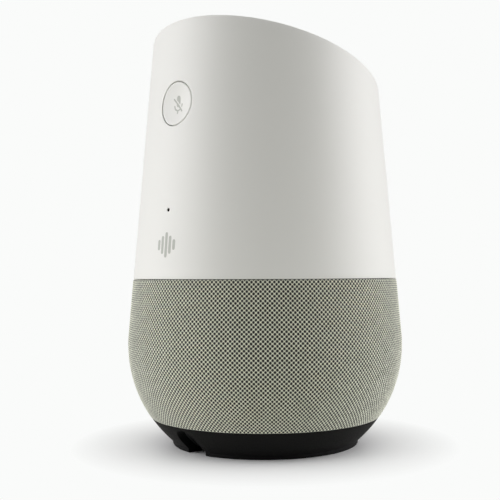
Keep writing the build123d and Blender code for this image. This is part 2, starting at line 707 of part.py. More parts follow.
def driver_frame():
    """Driver frame: flange, a tapered basket with four windows and a ring for the motor."""
    bore_r = COIL_R + COIL_GAP
    basket = turned((FRAME_HOLE_R - BASKET_T, RING_GASKET_T + FLANGE_T / 2), (FRAME_HOLE_R, RING_GASKET_T),
                    (FRAME_HOLE_R, -BOX_WALL), (PLATE_R + BASKET_T, BASKET_LOW),
                    (bore_r, BASKET_LOW), (bore_r, BASKET_LOW + BASKET_T),
                    (PLATE_R, BASKET_LOW + BASKET_T), (FRAME_HOLE_R - BASKET_T, -BOX_WALL))
    half = BASKET_WINDOW_W / 2
    window = block([0, 2 * FRAME_R], [-half, half], [BASKET_LOW + 2 * BASKET_T, -BOX_WALL])
    basket -= [Rot(0, 0, 90 * step) * window for step in range(4)]
    return flange() + basket


def driver_top_plate():
    """Front plate of the motor, with a gap for the voice coil."""
    return tube(PLATE_R, COIL_R + COIL_GAP, PLATE_LOW, BASKET_LOW)


def driver_magnet():
    """Ring magnet of the motor."""
    bore = COIL_R + MAGNET_BORE_GAP
    return tube(DRIVER_MAGNET_R, bore, DRIVER_MAGNET_LOW, PLATE_LOW)


def driver_yoke():
    """Back plate and pole of the motor."""
    pole_r = COIL_R - COIL_T - COIL_GAP
    return rod(PLATE_R, YOKE_LOW, DRIVER_MAGNET_LOW) + rod(pole_r, DRIVER_MAGNET_LOW, BASKET_LOW)


def voice_coil():
    """Thin coil on its former, in the motor's gap."""
    return tube(COIL_R, COIL_R - COIL_T, NECK_H - COIL_L, NECK_H)


def driver_cone():
    """Cone with a domed dust cap, glued to the coil's former."""
    low = ROLL_SEAT - CONE_T
    lip_r = CONE_EDGE_R - SURROUND_LIP - CONE_T
    cone = turned((lip_r, low), (CONE_EDGE_R, low), (CONE_EDGE_R, ROLL_SEAT), (lip_r, ROLL_SEAT),
                  (COIL_R - COIL_T, NECK_H + CONE_T), (COIL_R - COIL_T, NECK_H), (COIL_R, NECK_H))
    dome_r = COIL_R + DOME_OVERLAP
    ball = (dome_r ** 2 + DOME_RISE ** 2) / (2 * DOME_RISE)
    seat = NECK_H + DOME_SEAT
    dome = Pos(0, 0, seat + DOME_RISE - ball) * (Sphere(ball) - Sphere(ball - CONE_T))
    return cone + (dome & rod(dome_r, seat - DOME_EDGE, seat + DOME_RISE + OVER))


def driver_spider():
    """Corrugated cloth disc that centres the coil."""
    seat = BASKET_LOW + 2 * BASKET_T
    rim = PLATE_R + SPIDER_OVERLAP
    pitch = (rim - COIL_R) / SPIDER_WAVES
    upper = []
    for step in range(SPIDER_WAVES):
        start = COIL_R + step * pitch
        crest = (start + pitch / 4, seat + SPIDER_T)
        dip = (start + 3 * pitch / 4, seat - SPIDER_T)
        upper += [(start, seat), crest, dip]
    upper.append((rim, seat))
    lower = [(r, h - SPIDER_T) for r, h in reversed(upper)]
    return turned(*upper, *lower)


def driver_surround():
    """Rubber roll between the cone and the driver frame."""
    return Pos(0, 0, ROLL_SEAT) * surround(CONE_EDGE_R, FRAME_HOLE_R)


def driver_terminals():
    """Terminal block on the side of the motor's front plate, with two solder tags."""
    holder = block([-TERMINAL_W / 2, TERMINAL_W / 2], [0, PLATE_R + TERMINAL_T],
                   [PLATE_LOW + SEAT_GAP, BASKET_LOW]) - rod(PLATE_R, PLATE_LOW - OVER, BASKET_LOW + OVER)
    tags = [block([x - WIRE_R, x + WIRE_R], [PLATE_R + TERMINAL_T, PLATE_R + TERMINAL_T + TAG_L],
                  [TAG_H, TAG_H + SPIDER_T]) for x in WIRE_X]
    return holder + tags


def passive_frame():
    """Short frame of a passive radiator."""
    return flange() + tube(FRAME_HOLE_R, FRAME_HOLE_R - BASKET_T, -PASSIVE_DEPTH, RING_GASKET_T + OVER)


def passive_diaphragm():
    """Flat diaphragm with a tuning weight behind it."""
    disc = rod(PASSIVE_EDGE_R, ROLL_SEAT - PASSIVE_T, ROLL_SEAT)
    return disc + rod(PASSIVE_MASS_R, ROLL_SEAT - PASSIVE_T - PASSIVE_MASS_H, ROLL_SEAT - PASSIVE_T)


def passive_surround():
    """Rubber roll between the diaphragm and its frame."""
    return Pos(0, 0, ROLL_SEAT) * surround(PASSIVE_EDGE_R, FRAME_HOLE_R)


def speaker_wires():
    """Two wires from the driver's tags up through the lid to the main board."""
    tag_z = SPEAKER_Z + PLATE_R + TERMINAL_T + TAG_L - WIRE_R
    tag_y = -FLAT - TAG_H
    return [wire(WIRE_R, (x, tag_y, tag_z), (x, WIRE_Y, tag_z), (x, WIRE_Y, BOARD_LOW)) for x in WIRE_X]


# --- Electronics on the lid

def main_board():
    """Round main circuit board."""
    board = rod(BOARD_R, BOARD_LOW, BOARD_HIGH)
    return board - [place * rod(BOARD_SCREW_R + THROUGH_GAP, BOARD_LOW - OVER, BOARD_HIGH + OVER)
                    for place in standoff_places()]


def main_board_chips():
    """Processor, memory, radio, amplifier, coils, capacitors and cable sockets."""
    return [block([x - width / 2, x + width / 2], [y - depth / 2, y + depth / 2],
                  [BOARD_HIGH, BOARD_HIGH + height]) for x, y, width, depth, height in CHIPS]


def shield_can():
    """Thin folded cover over the processor and memory."""
    outer = block([-CAN_W / 2, CAN_W / 2], [-CAN_D / 2, CAN_D / 2], [BOARD_HIGH, BOARD_HIGH + CAN_H])
    inner = block([CAN_T - CAN_W / 2, CAN_W / 2 - CAN_T], [CAN_T - CAN_D / 2, CAN_D / 2 - CAN_T],
                  [BOARD_HIGH - OVER, BOARD_HIGH + CAN_H - CAN_T])
    return outer - inner


def thermal_pad():
    """Soft pad between the shield can and the heat spreader."""
    half = PAD_W / 2
    return block([-half, half], [-half, half], [BOARD_HIGH + CAN_H, SPREADER_LOW])


def heat_spreader():
    """Aluminium plate on four feet above the main board, cut away beside the cable sockets."""
    plate = rod(SPREADER_R, SPREADER_LOW, SPREADER_HIGH)
    span = [SPREADER_LOW - OVER, SPREADER_HIGH + OVER]
    plate -= block([-RIBBON_W, RIBBON_W], [-2 * SPREADER_R, TOUCH_SOCKET_Y + SOCKET_D], span)
    plate -= block([-RIBBON_W, RIBBON_W], [MUTE_SOCKET_Y - SOCKET_D, 2 * SPREADER_R], span)
    plate += [place * rod(STANDOFF_R, BOARD_HIGH, SPREADER_LOW) for place in standoff_places()]
    return plate - [place * rod(BOARD_SCREW_R + THROUGH_GAP, BOARD_HIGH - OVER, SPREADER_HIGH + OVER)
                    for place in standoff_places()]


def main_board_screws():
    """Screws through the heat spreader and the board into the standoffs."""
    length = SPREADER_HIGH - BOARD_LOW + STANDOFF_H - TIP_GAP
    piece = Pos(0, 0, SPREADER_HIGH) * screw(BOARD_SCREW_R, length)
    return [place * piece for place in standoff_places()]


def wifi_antennas():
    """Thin film antennas on the inside of the shell, one on each side."""
    film = form(WALL, ANTENNA_LOW, ANTENNA_LOW + ANTENNA_H)
    film -= form(WALL + ANTENNA_T, ANTENNA_LOW - OVER, ANTENNA_LOW + ANTENNA_H + OVER)
    half = ANTENNA_W / 2
    reach = [ANTENNA_LOW - OVER, ANTENNA_LOW + ANTENNA_H + OVER]
    return [film & block(x, [-half, half], reach) for x in ([0, 2 * BELLY_R], [-2 * BELLY_R, 0])]


def antenna_cables():
    """Coaxial leads from the main board up to each antenna."""
    end_z = ANTENNA_LOW + ANTENNA_H / 3
    foot_r = BOARD_R - 2 * COAX_R
    high_r = radius(end_z, WALL + ANTENNA_T + COAX_R) - THREAD_GAP
    low_bend = BOARD_HIGH + (end_z - BOARD_HIGH) * COAX_BENDS[0]
    high_bend = BOARD_HIGH + (end_z - BOARD_HIGH) * COAX_BENDS[1]
    return [wire(COAX_R, (side * foot_r, 0, BOARD_HIGH), (side * foot_r, 0, low_bend),
                 (side * high_r, 0, high_bend), (side * high_r, 0, end_z))
            for side in (-1, 1)]


def touch_flex_cable():
    """Ribbon from the touch board down to the main board."""
    tilt = math.radians(TOP_TILT)
    end_y = TOUCH_SOCKET_Y + RIBBON_LIE
    end_z = TOP_AXIS_Z + end_y * math.tan(tilt) + (TOP_BOARD_LOW - RIBBON_T) / math.cos(tilt)
    low_z = BOARD_HIGH + SOCKET_H
    bend_z = end_z - RIBBON_LIE
    return ribbon(0, RIBBON_W, (TOUCH_SOCKET_Y, low_z), (TOUCH_SOCKET_Y, bend_z), (end_y, end_z))


def mute_flex_cable():
    """Ribbon from the switch board down to the main board."""
    low_y = MUTE_SOCKET_Y
    low_z = BOARD_HIGH + SOCKET_H
    high_y = radius(BUTTON_Z) + (SWITCH_BOARD_TOP - SWITCH_BOARD_T) * math.cos(SLOPE) - 4 * RIBBON_T
    high_z = BUTTON_Z - SWITCH_BOARD_H / 3
    third = (high_z - low_z) / 3
    return ribbon(0, MUTE_RIBBON_W, (low_y, low_z), (low_y, low_z + third),
                  (high_y, high_z - third), (high_y, high_z))


# --- Bottom of the unit

def bottom_cap():
    """Cap under the speaker box, with an open trench for the plug and its cable."""
    cap = rod(CAP_R, CAP_LOW, BOX_LOW)
    hollow = rod(CAP_R - CAP_WALL, CAP_LOW + CAP_WALL, BOX_LOW + OVER)
    half = TRENCH_W / 2
    keep = block([-half - CAP_WALL, half + CAP_WALL], [TRENCH_Y - CAP_WALL / 2, 2 * CAP_R],
                 [CAP_LOW, BOX_LOW + OVER])
    posts = [place * rod(BOX_BOSS_R, CAP_LOW, BOX_LOW + OVER)
             for place in ring_places(CAP_SCREW_RING_R, CAP_SCREW_TURNS)]
    cap -= hollow - keep - posts
    cap -= block([-half, half], [TRENCH_Y, 2 * CAP_R], [0, TRENCH_HIGH])
    jack_half = JACK_W / 2 + SEAT_GAP
    cap -= block([-jack_half, jack_half], [TRENCH_Y - JACK_L - SEAT_GAP, TRENCH_Y + OVER],
                 [0, INLET_Z + JACK_W / 2])
    slot_x = PORT_T / 2 - PORT_SLOT_EDGE
    slot_y = PORT_W / 2 - PORT_SLOT_EDGE
    cap -= block([PORT_X - slot_x, PORT_X + slot_x], [port_y() - slot_y, port_y() + slot_y],
                 [0, CAP_LOW + CAP_WALL + OVER])
    head = rod(CAP_SCREW_R * HEAD_WIDE + THROUGH_GAP, 0, CAP_LOW + CAP_SCREW_R * HEAD_HIGH)
    through = rod(CAP_SCREW_R + THROUGH_GAP, 0, BOX_LOW + OVER)
    for place in ring_places(CAP_SCREW_RING_R, CAP_SCREW_TURNS):
        cap -= place * head
        cap -= place * through
    return cap


def port_y():
    """Middle of the service port, beside the power inlet."""
    return TRENCH_Y - CAP_WALL / 2 - PORT_W / 2 - PORT_WALL


def bottom_cap_screws():
    """Screws up through the cap into the speaker box's floor."""
    seat = CAP_LOW + CAP_SCREW_R * HEAD_HIGH
    length = BOX_LOW + BOX_FLOOR - seat - TIP_GAP
    piece = Pos(0, 0, seat) * Rot(180, 0, 0) * screw(CAP_SCREW_R, length)
    return [place * piece for place in ring_places(CAP_SCREW_RING_R, CAP_SCREW_TURNS)]


def power_inlet_jack():
    """Round power socket, open towards the trench."""
    half = JACK_W / 2
    body = block([-half, half], [TRENCH_Y - JACK_L, TRENCH_Y], [INLET_Z - half, INLET_Z + half])
    bore = Pos(0, TRENCH_Y, INLET_Z) * Rot(90, 0, 0) * rod(JACK_BORE_R, -OVER, JACK_BORE_L)
    return body - bore


def inlet_centre_pin():
    """Centre contact of the power socket."""
    return Pos(0, TRENCH_Y - JACK_BORE_L, INLET_Z) * Rot(-90, 0, 0) * rod(PIN_R, 0, PIN_L)


def inlet_board():
    """Small board over the power socket and the service port."""
    low = INLET_Z + JACK_W / 2
    y = [TRENCH_Y - JACK_L - SEAT_GAP, TRENCH_Y - CAP_WALL / 2 - 2 * SEAT_GAP]
    return block([-INLET_BOARD_X, INLET_BOARD_X], y, [low, low + INLET_BOARD_T])


def service_port():
    """Small data socket, open downwards through the cap."""
    x = [PORT_X - PORT_T / 2, PORT_X + PORT_T / 2]
    y = [port_y() - PORT_W / 2, port_y() + PORT_W / 2]
    low = CAP_LOW + CAP_WALL
    high = INLET_Z + JACK_W / 2
    body = block(x, y, [low, high])
    return body - block([x[0] + PORT_WALL, x[1] - PORT_WALL], [y[0] + PORT_WALL, y[1] - PORT_WALL],
                        [low - OVER, high - OVER])


def inlet_wires():
    """Two leads from the inlet board up to the speaker box's floor."""
    low = INLET_Z + JACK_W / 2 + INLET_BOARD_T
    return [Pos(x, TRENCH_Y - JACK_L / 2, 0) * rod(WIRE_R, low, BOX_LOW) for x in INLET_WIRE_X]


SINGLES = [
    base_fabric, base_grille_shell, base_floor, foot_ring, base_magnets,
    upper_shell, top_touch_panel, led_light_guide, touch_light_board, indicator_leds, microphones,
    mic_gaskets, panel_carrier, panel_carrier_screws,
    mute_button, mute_switch_plunger, mute_switch_body, mute_switch_board, switch_board_screws,
    enclosure_tub, unit_magnets, enclosure_gasket, enclosure_lid, enclosure_screws, shell_screws,
    speaker_gaskets, speaker_screws, speaker_wires,
    main_board, main_board_chips, shield_can, thermal_pad, heat_spreader, main_board_screws,
    wifi_antennas, antenna_cables, touch_flex_cable, mute_flex_cable,
    bottom_cap, bottom_cap_screws, power_inlet_jack, inlet_centre_pin, inlet_board, service_port,
    inlet_wires,
]
DRIVER_PIECES = [
    driver_frame, driver_top_plate, driver_magnet, driver_yoke, driver_terminals,
    driver_cone, voice_coil, driver_spider, driver_surround,
]
PASSIVE_PIECES = {"frame": passive_frame, "diaphragm": passive_diaphragm, "surround": passive_surround}


def save(name, shape):
    """Write one node: a single solid or a group of separate ones."""
    if isinstance(shape, list):
        shape = Compound([solid for piece in shape for solid in piece.solids()])
    export_step(shape, f"parts/{name}.step")


def main():
    """Build every node and write it."""
    os.makedirs("parts", exist_ok=True)
    for piece in SINGLES:
        save(piece.__name__, piece())
    for piece in DRIVER_PIECES:
        save(piece.__name__, face_place(FACE_TURNS["driver"]) * piece())
    for side in ("passive_left", "passive_right"):
        for name, piece in PASSIVE_PIECES.items():
            save(f"{side}_{name}", face_place(FACE_TURNS[side]) * piece())


main()
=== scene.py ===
import json
import math
from functools import partial

import bpy
import numpy as np
from bpy.props import FloatProperty, FloatVectorProperty, PointerProperty
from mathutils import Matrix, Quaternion, Vector


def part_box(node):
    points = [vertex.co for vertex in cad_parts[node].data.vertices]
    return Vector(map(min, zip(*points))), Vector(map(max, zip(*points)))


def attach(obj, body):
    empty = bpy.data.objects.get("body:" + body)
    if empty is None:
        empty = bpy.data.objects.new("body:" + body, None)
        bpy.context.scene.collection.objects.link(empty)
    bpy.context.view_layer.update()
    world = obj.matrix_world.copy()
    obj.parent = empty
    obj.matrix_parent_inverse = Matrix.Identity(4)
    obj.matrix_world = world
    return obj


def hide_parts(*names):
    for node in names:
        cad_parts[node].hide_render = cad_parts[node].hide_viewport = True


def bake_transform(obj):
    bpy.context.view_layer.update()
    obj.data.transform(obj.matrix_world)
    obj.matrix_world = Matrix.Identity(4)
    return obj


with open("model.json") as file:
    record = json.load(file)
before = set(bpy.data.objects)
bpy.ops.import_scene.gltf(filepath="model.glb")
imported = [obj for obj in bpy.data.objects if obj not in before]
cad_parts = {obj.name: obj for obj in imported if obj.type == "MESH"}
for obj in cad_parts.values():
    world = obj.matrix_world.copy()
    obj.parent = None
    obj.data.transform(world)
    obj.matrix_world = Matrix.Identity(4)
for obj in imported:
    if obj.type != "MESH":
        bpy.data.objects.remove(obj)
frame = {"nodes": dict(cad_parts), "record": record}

bl_info = {
    "name": "Smart Speaker",
    "version": (1, 0, 0),
    "blender": (4, 5, 0),
    "location": "View3D > Sidebar > Speaker",
    "description": "Builds the shell, button, woven sleeve and foot of a table speaker round its frame",
    "category": "Object",
}

MM = 0.001
FULL_TURN = 2 * math.pi

# The outer form, from the frame: an arc from the foot to past the belly, then a slim cone to a slanted rim.
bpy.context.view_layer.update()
SEAM_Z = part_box("upper_shell")[0].z
TOP_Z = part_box("upper_shell")[1].z
FOOT_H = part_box("foot_ring")[1].z
FABRIC_LOW, FABRIC_HIGH = (corner.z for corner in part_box("base_fabric"))
FABRIC_HIGH += 0.25 * MM
BELLY_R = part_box("base_fabric")[1].x
BELLY_Z = 35 * MM
ARC_R = 44.2 * MM
ARC_X = BELLY_R - ARC_R
SLOPE = math.radians(4.85)
TOP_TILT = math.radians(16.6)
PANEL_LOW = -2.15 * MM

# Where things sit on the +Y side, as heights on the slope.
BUTTON_Z = TOP_Z - 27.9 * MM
PINHOLE_Z = SEAM_Z + 22.3 * MM
MARK_Z = SEAM_Z + 11 * MM

# Screw posts inside the shell: three that take the lid's screws, two that carry the switch board.
POST_R, POST_BORE, POST_H, POST_RING_R = 3.4 * MM, 1.3 * MM, 13 * MM, 39.8 * MM
SWITCH_POST_R, SWITCH_POST_BORE, SWITCH_POST_X = 2.4 * MM, 0.85 * MM, 13 * MM
SWITCH_POST_LOW, SWITCH_POST_HIGH = -10.1 * MM, -4.0 * MM
POST_HOLE, SWITCH_POST_HOLE = 8 * MM, 5 * MM

# Speakers on the flat faces of the box inside the sleeve: turn of the face, width of the roll, moving body.
SPEAKERS = {
    "driver": (0, 3.4 * MM, "driver_cone"),
    "passive_right": (120, 4.0 * MM, "passive_right"),
    "passive_left": (240, 4.0 * MM, "passive_left"),
}
SPEAKER_Z = 35.5 * MM
ROLL_OUT_R = 19.3 * MM
ROLL_LIP = 0.7 * MM
ROLL_T = 0.5 * MM
SPIDER_T = 0.4 * MM
SPIDER_WAVES = 3
WAVE_STEPS = 12

# Points round a small part and round a large one, and steps in a small rounded edge.
SMALL_ROUND, ROUND, EDGE_STEPS = 32, 96, 3

SLOTS = {part["node"]: part["material_slot"] for part in frame["record"]["subparts"]}


def linear(code):
    """Linear red, green and blue of an sRGB hex colour."""
    value = np.array([int(code[start:start + 2], 16) for start in (0, 2, 4)]) / 255
    return tuple(np.where(value <= 0.04045, value / 12.92, ((value + 0.055) / 1.055) ** 2.4))


def colour(name, code, description):
    """Colour property with an sRGB hex default."""
    return FloatVectorProperty(name=name, description=description, subtype="COLOR", size=3,
                               min=0, max=1, default=linear(code))


def size(name, millimetres, description):
    """Length property with a default in millimetres."""
    return FloatProperty(name=name, description=description, subtype="DISTANCE", unit="LENGTH",
                         default=millimetres * MM, min=0, precision=5)


def number(name, value, description, **limits):
    """Property that holds a plain number."""
    return FloatProperty(name=name, description=description, default=value, **limits)


def angle(name, degrees, description):
    """Angle property with a default in degrees."""
    return FloatProperty(name=name, description=description, subtype="ANGLE", default=math.radians(degrees))


# --- Sizes and colours

class ShellSizes(bpy.types.PropertyGroup):
    wall: size("Wall", 2.4, "Thickness of the shell")
    rim: size("Rim", 1.5, "Width of the land round the top panel")
    edge: size("Edge radius", 0.25, "Radius of the rim's edges")
    seam: size("Seam edge", 0.12, "Radius of the edges at the seam")
    hole: size("Button hole", 7.45, "Radius of the hole for the mute button")
    pinhole: size("Pinhole", 0.6, "Radius of the reset pinhole")
    skin: colour("Shell", "E8E9E5", "Colour of the moulded shell")


class ButtonSizes(bpy.types.PropertyGroup):
    radius: size("Radius", 7.15, "Radius of the button cap")
    dish: size("Dish", 1.1, "Depth of the finger dish")
    sink: size("Sink", 0.12, "How far the cap's edge lies below the shell")
    flange: size("Flange", 8.6, "Radius of the retaining flange")
    stem: size("Stem", 2.0, "Radius of the stem")
    ink: colour("Ink", "B9BCB5", "Colour of the printed signs")


class SleeveSizes(bpy.types.PropertyGroup):
    pitch: size("Thread pitch", 0.72, "Distance from one thread crossing to the next")
    thickness: size("Thickness", 0.8, "Thickness of the fabric")
    relief: size("Relief", 0.11, "How far a thread stands out at a crossing")
    light: colour("Warp", "F7FBE6", "Colour of the light thread")
    dark: colour("Weft", "10120A", "Colour of the dark thread")


class FootSizes(bpy.types.PropertyGroup):
    wall: size("Wall", 2.6, "Thickness of the rubber band")
    sole: size("Sole", 1.6, "Thickness of the sole")
    bore: size("Bore", 27.0, "Radius of the opening under the speaker")
    side: size("Sole's side", 1.4, "Height of the upright side of the sole")
    edge: size("Edge radius", 0.5, "Radius of the edge on the table")
    notch: size("Notch width", 8.4, "Width of the cable notch")
    arch: size("Notch height", 8.8, "Height of the cable notch")
    rubber: colour("Rubber", "050505", "Colour of the foot")


class StageSizes(bpy.types.PropertyGroup):
    distance: size("Camera distance", 310.3, "Distance from the speaker's axis to the camera")
    height: size("Camera height", 59.6, "Height of the camera above the table")
    azimuth: angle("Camera turn", 134.03, "Turn of the camera round the speaker")
    pitch: angle("Camera pitch", 1.53, "How far the camera looks up")
    roll: angle("Camera roll", 0.24, "Turn of the camera about its own axis")
    lens: number("Lens", 62.4, "Focal length in millimetres", min=1)
    shift: number("Shift", -0.0294, "Sideways shift of the camera's frame")
    front: number("Front light", 0.0, "Brightness on the camera's side", min=0)
    side: number("Side light", 4.25, "Brightness left and right", min=0)
    back: number("Back light", 0.55, "Brightness behind the speaker", min=0)
    zenith: number("Zenith", 0.15, "Share of the light that is left overhead", min=0)
    aim: angle("Dark side", 4, "Turn of the darkest side from the camera to the right")
    near: number("Near bounce", 0.86, "Brightness of the near floor as a light")
    far: number("Far bounce", 0.47, "Brightness of the far floor as a light")
    sky: colour("Sky", "FFFDFF", "Colour of the sky's light")
    floor: colour("Floor", "F3F4F3", "Colour of the floor")
    backdrop: colour("Backdrop", "FAFBFA", "Colour of the backdrop")


# --- The outer form

def form_radius(height, inset=0.0):
    """Radius of the form at a height, moved inwards along its normal by inset.

    Up to the bend it is the arc of radius ARC_R - inset about (ARC_X, BELLY_Z); above the bend it falls
    in a straight line at the angle SLOPE, which continues the arc without a kink.
    """
    arc = ARC_R - inset
    bend = BELLY_Z + arc * math.sin(SLOPE)
    low = ARC_X + np.sqrt(np.maximum(arc ** 2 - (np.minimum(height, bend) - BELLY_Z) ** 2, 0))
    high = ARC_X + arc * math.cos(SLOPE) - (height - bend) * math.tan(SLOPE)
    return np.where(height < bend, low, high)


TOP_AXIS_Z = TOP_Z - float(form_radius(TOP_Z)) * math.tan(TOP_TILT)


def form_length(height):
    """Length along the form's section from the belly up to a height: the arc's radius times its turn, then
    the straight slope."""
    bend = BELLY_Z + ARC_R * math.sin(SLOPE)
    arc = ARC_R * math.asin((min(height, bend) - BELLY_Z) / ARC_R)
    return arc + max(height - bend, 0) / math.cos(SLOPE)


def form_path(length, inset=0.0):
    """Radius and height at a length along the form's section, moved inwards along the normal by inset.

    The normal turns with the arc until it reaches SLOPE, and stays there along the cone.
    """
    turn = np.minimum(length / ARC_R, SLOPE)
    rest = length - ARC_R * turn
    radius = ARC_X + (ARC_R - inset) * np.cos(turn) - rest * np.sin(turn)
    return radius, BELLY_Z + (ARC_R - inset) * np.sin(turn) + rest * np.cos(turn)


def cone_reach(inset):
    """Radius that the cone, moved inwards by inset, would have at height zero."""
    arc = ARC_R - inset
    return ARC_X + arc * math.cos(SLOPE) + (BELLY_Z + arc * math.sin(SLOPE)) * math.tan(SLOPE)


def rim_height(turn, inset, depth):
    """Height at which the cone, moved inwards by inset, meets a plane that lies depth above the slanted rim.

    The plane's height rises with y, y is the radius times the sine of the turn, and the radius falls with
    the height, so the height is the quotient of two sums of those slopes.
    """
    rise = math.tan(TOP_TILT) * np.sin(turn)
    return (TOP_AXIS_Z + depth / math.cos(TOP_TILT) + rise * cone_reach(inset)) / (1 + rise * math.tan(SLOPE))


def turned(radius, turn, height):
    """Points at a radius and height round the upright axis; turn 0 is +X and a quarter turn is +Y."""
    return np.stack(np.broadcast_arrays(radius * np.cos(turn), radius * np.sin(turn), height), axis=-1)


# --- Places on the +Y slope, with axes to the right, up the slope and outwards

SLOPE_AXES = np.array([
    [-1, 0, 0],
    [0, -math.sin(SLOPE), math.cos(SLOPE)],
    [0, math.cos(SLOPE), math.sin(SLOPE)],
])


def slope_origin(centre):
    """Point of the form on the +Y side at a height."""
    return np.array([0, float(form_radius(centre)), centre])


def on_slope(centre, right, up, out):
    """Points given by their distances right, up and out from the form's point at a height."""
    return slope_origin(centre) + np.stack(np.broadcast_arrays(right, up, out), axis=-1) @ SLOPE_AXES


def slope_out(centre, right, up, inset=0.0):
    """Distance out to the cone, moved inwards by inset, above a place on the slope's plane.

    It is the larger root of the quadratic that says: the point's distance from the axis is the cone's radius
    at the point's height.
    """
    origin = slope_origin(centre)
    fall = math.tan(SLOPE)
    depth = origin[1] - up * math.sin(SLOPE)
    width = cone_reach(inset) - fall * (origin[2] + up * math.cos(SLOPE))
    square = math.cos(SLOPE) ** 2 - (fall * math.sin(SLOPE)) ** 2
    half = depth * math.cos(SLOPE) + width * fall * math.sin(SLOPE)
    rest = right ** 2 + depth ** 2 - width ** 2
    return (np.sqrt(half ** 2 - square * rest) - half) / square


# --- Grids and meshes

def quads(index):
    """Faces between neighbouring rows and columns of a grid of point numbers."""
    corners = [index[:-1, :-1], index[:-1, 1:], index[1:, 1:], index[1:, :-1]]
    return np.stack(corners, axis=-1).reshape(-1, 4)


def closed(index, axis):
    """Grid of point numbers with its first row (axis 0) or column (axis 1) repeated at the end."""
    return np.concatenate([index, index.take([0], axis=axis)], axis=axis)


def grid_index(rows, columns, start=0):
    """Point numbers of a grid, row by row."""
    return np.arange(start, start + rows * columns).reshape(rows, columns)


def fan(centre, ring):
    """Triangles from one point to a closed ring of points."""
    return np.stack([np.full(len(ring), centre), ring, np.roll(ring, -1)], axis=-1)


def quarter(steps):
    """Angles that divide a quarter turn, without its start."""
    return np.linspace(0, math.pi / 2, steps + 1)[1:]


def make_piece(name, points, faces, material, body=None, replaces=(), sharp=35, uv=None):
    """Put a surface into a mesh object, smooth up to the sharp angle, and let it ride on a body.

    faces is a list of arrays, one row of point numbers for each face; points that no face uses are left out.
    """
    corners = np.concatenate([face.ravel() for face in faces])
    sizes = np.concatenate([np.full(len(face), face.shape[1]) for face in faces])
    used, corners = np.unique(corners, return_inverse=True)
    mesh = bpy.data.meshes.new(name)
    mesh.vertices.add(len(used))
    mesh.vertices.foreach_set("co", points.reshape(-1, 3)[used].astype(np.float32).ravel())
    mesh.loops.add(len(corners))
    mesh.loops.foreach_set("vertex_index", corners.astype(np.int32).ravel())
    mesh.polygons.add(len(sizes))
    mesh.polygons.foreach_set("loop_start", (np.cumsum(sizes) - sizes).astype(np.int32))
    if uv is not None:
        mesh.uv_layers.new(name="threads").data.foreach_set("uv", uv.astype(np.float32).ravel())
    mesh.update(calc_edges=True)
    mesh.validate()
    mesh.shade_smooth()
    mesh.set_sharp_from_angle(angle=math.radians(sharp))
    mesh.materials.append(material)
    piece = bpy.data.objects.new(name, mesh)
    bpy.context.scene.collection.objects.link(piece)
    if replaces:
        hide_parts(*replaces)
    if body:
        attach(piece, body)
    return piece


AXIS_R = 0.01 * MM


def lathe(radius, height, columns):
    """Ring grid of a section turned about an upright axis through the origin."""
    turn = np.linspace(0, FULL_TURN, columns, endpoint=False)
    return turned(np.asarray(radius)[:, None], turn, np.asarray(height)[:, None])


def solid_rings(rings, start=0):
    """Faces of a solid whose section is a closed loop of rings."""
    index = grid_index(rings.shape[0], rings.shape[1], start)
    return quads(closed(closed(index, 0), 1))


# --- Materials

RANGE = ("Value", "From Min", "From Max", "To Min", "To Max")
SMOOTH = {"interpolation_type": "SMOOTHSTEP"}


def add(tree, kind, inputs=None, **settings):
    """Add a shader node of a kind, set its own settings, and give each named input a value or a link."""
    node = tree.nodes.new("ShaderNode" + kind)
    for name, value in settings.items():
        setattr(node, name, value)
    for name, value in (inputs or {}).items():
        if isinstance(value, bpy.types.NodeSocket):
            tree.links.new(value, node.inputs[name])
        else:
            node.inputs[name].default_value = value
    return node


def new_material(name, **shader_inputs):
    """Empty material with one shader, whose constants are set on its own sockets."""
    material = bpy.data.materials.new(name)
    material.use_nodes = True
    tree = material.node_tree
    tree.nodes.clear()
    shader = add(tree, "BsdfPrincipled", shader_inputs)
    add(tree, "OutputMaterial", {"Surface": shader.outputs["BSDF"]})
    return material, tree, shader


def rgba(rgb, factor=1.0):
    """Colour with an alpha, made lighter or darker by a factor."""
    return (*(min(value * factor, 1) for value in rgb), 1)


def textured(name, rgb, rough, grain, relief, mottle=0.04, cloud=18.0, stretch=(1, 1, 1), **shader_inputs):
    """Surface with a cloudy tone and a fine relief on object coordinates.

    grain and relief are the spacing and depth of the relief and cloud is the width of the tone's patches,
    all in millimetres; mottle is the share by which the tone changes.
    """
    material, tree, shader = new_material(name, **shader_inputs)
    place = add(tree, "TexCoord").outputs["Object"]
    place = add(tree, "Mapping", {"Vector": place, "Scale": stretch}).outputs["Vector"]
    patches = add(tree, "TexNoise", {"Vector": place, "Scale": 1 / (cloud * MM), "Detail": 3})
    skin = add(tree, "TexNoise", {"Vector": place, "Scale": 1 / (grain * MM), "Detail": 2})
    tone = add(tree, "Mix", {"Factor": patches.outputs["Fac"], 6: rgba(rgb, 1 - mottle),
                             7: rgba(rgb, 1 + mottle)}, data_type="RGBA")
    span = (skin.outputs["Fac"], 0.3, 0.7, rough * 0.9, min(rough * 1.1, 1))
    gloss = add(tree, "MapRange", dict(zip(RANGE, span)))
    bump = add(tree, "Bump", {"Height": skin.outputs["Fac"], "Distance": relief * MM})
    tree.links.new(tone.outputs[2], shader.inputs["Base Color"])
    tree.links.new(gloss.outputs["Result"], shader.inputs["Roughness"])
    tree.links.new(bump.outputs["Normal"], shader.inputs["Normal"])
    return material


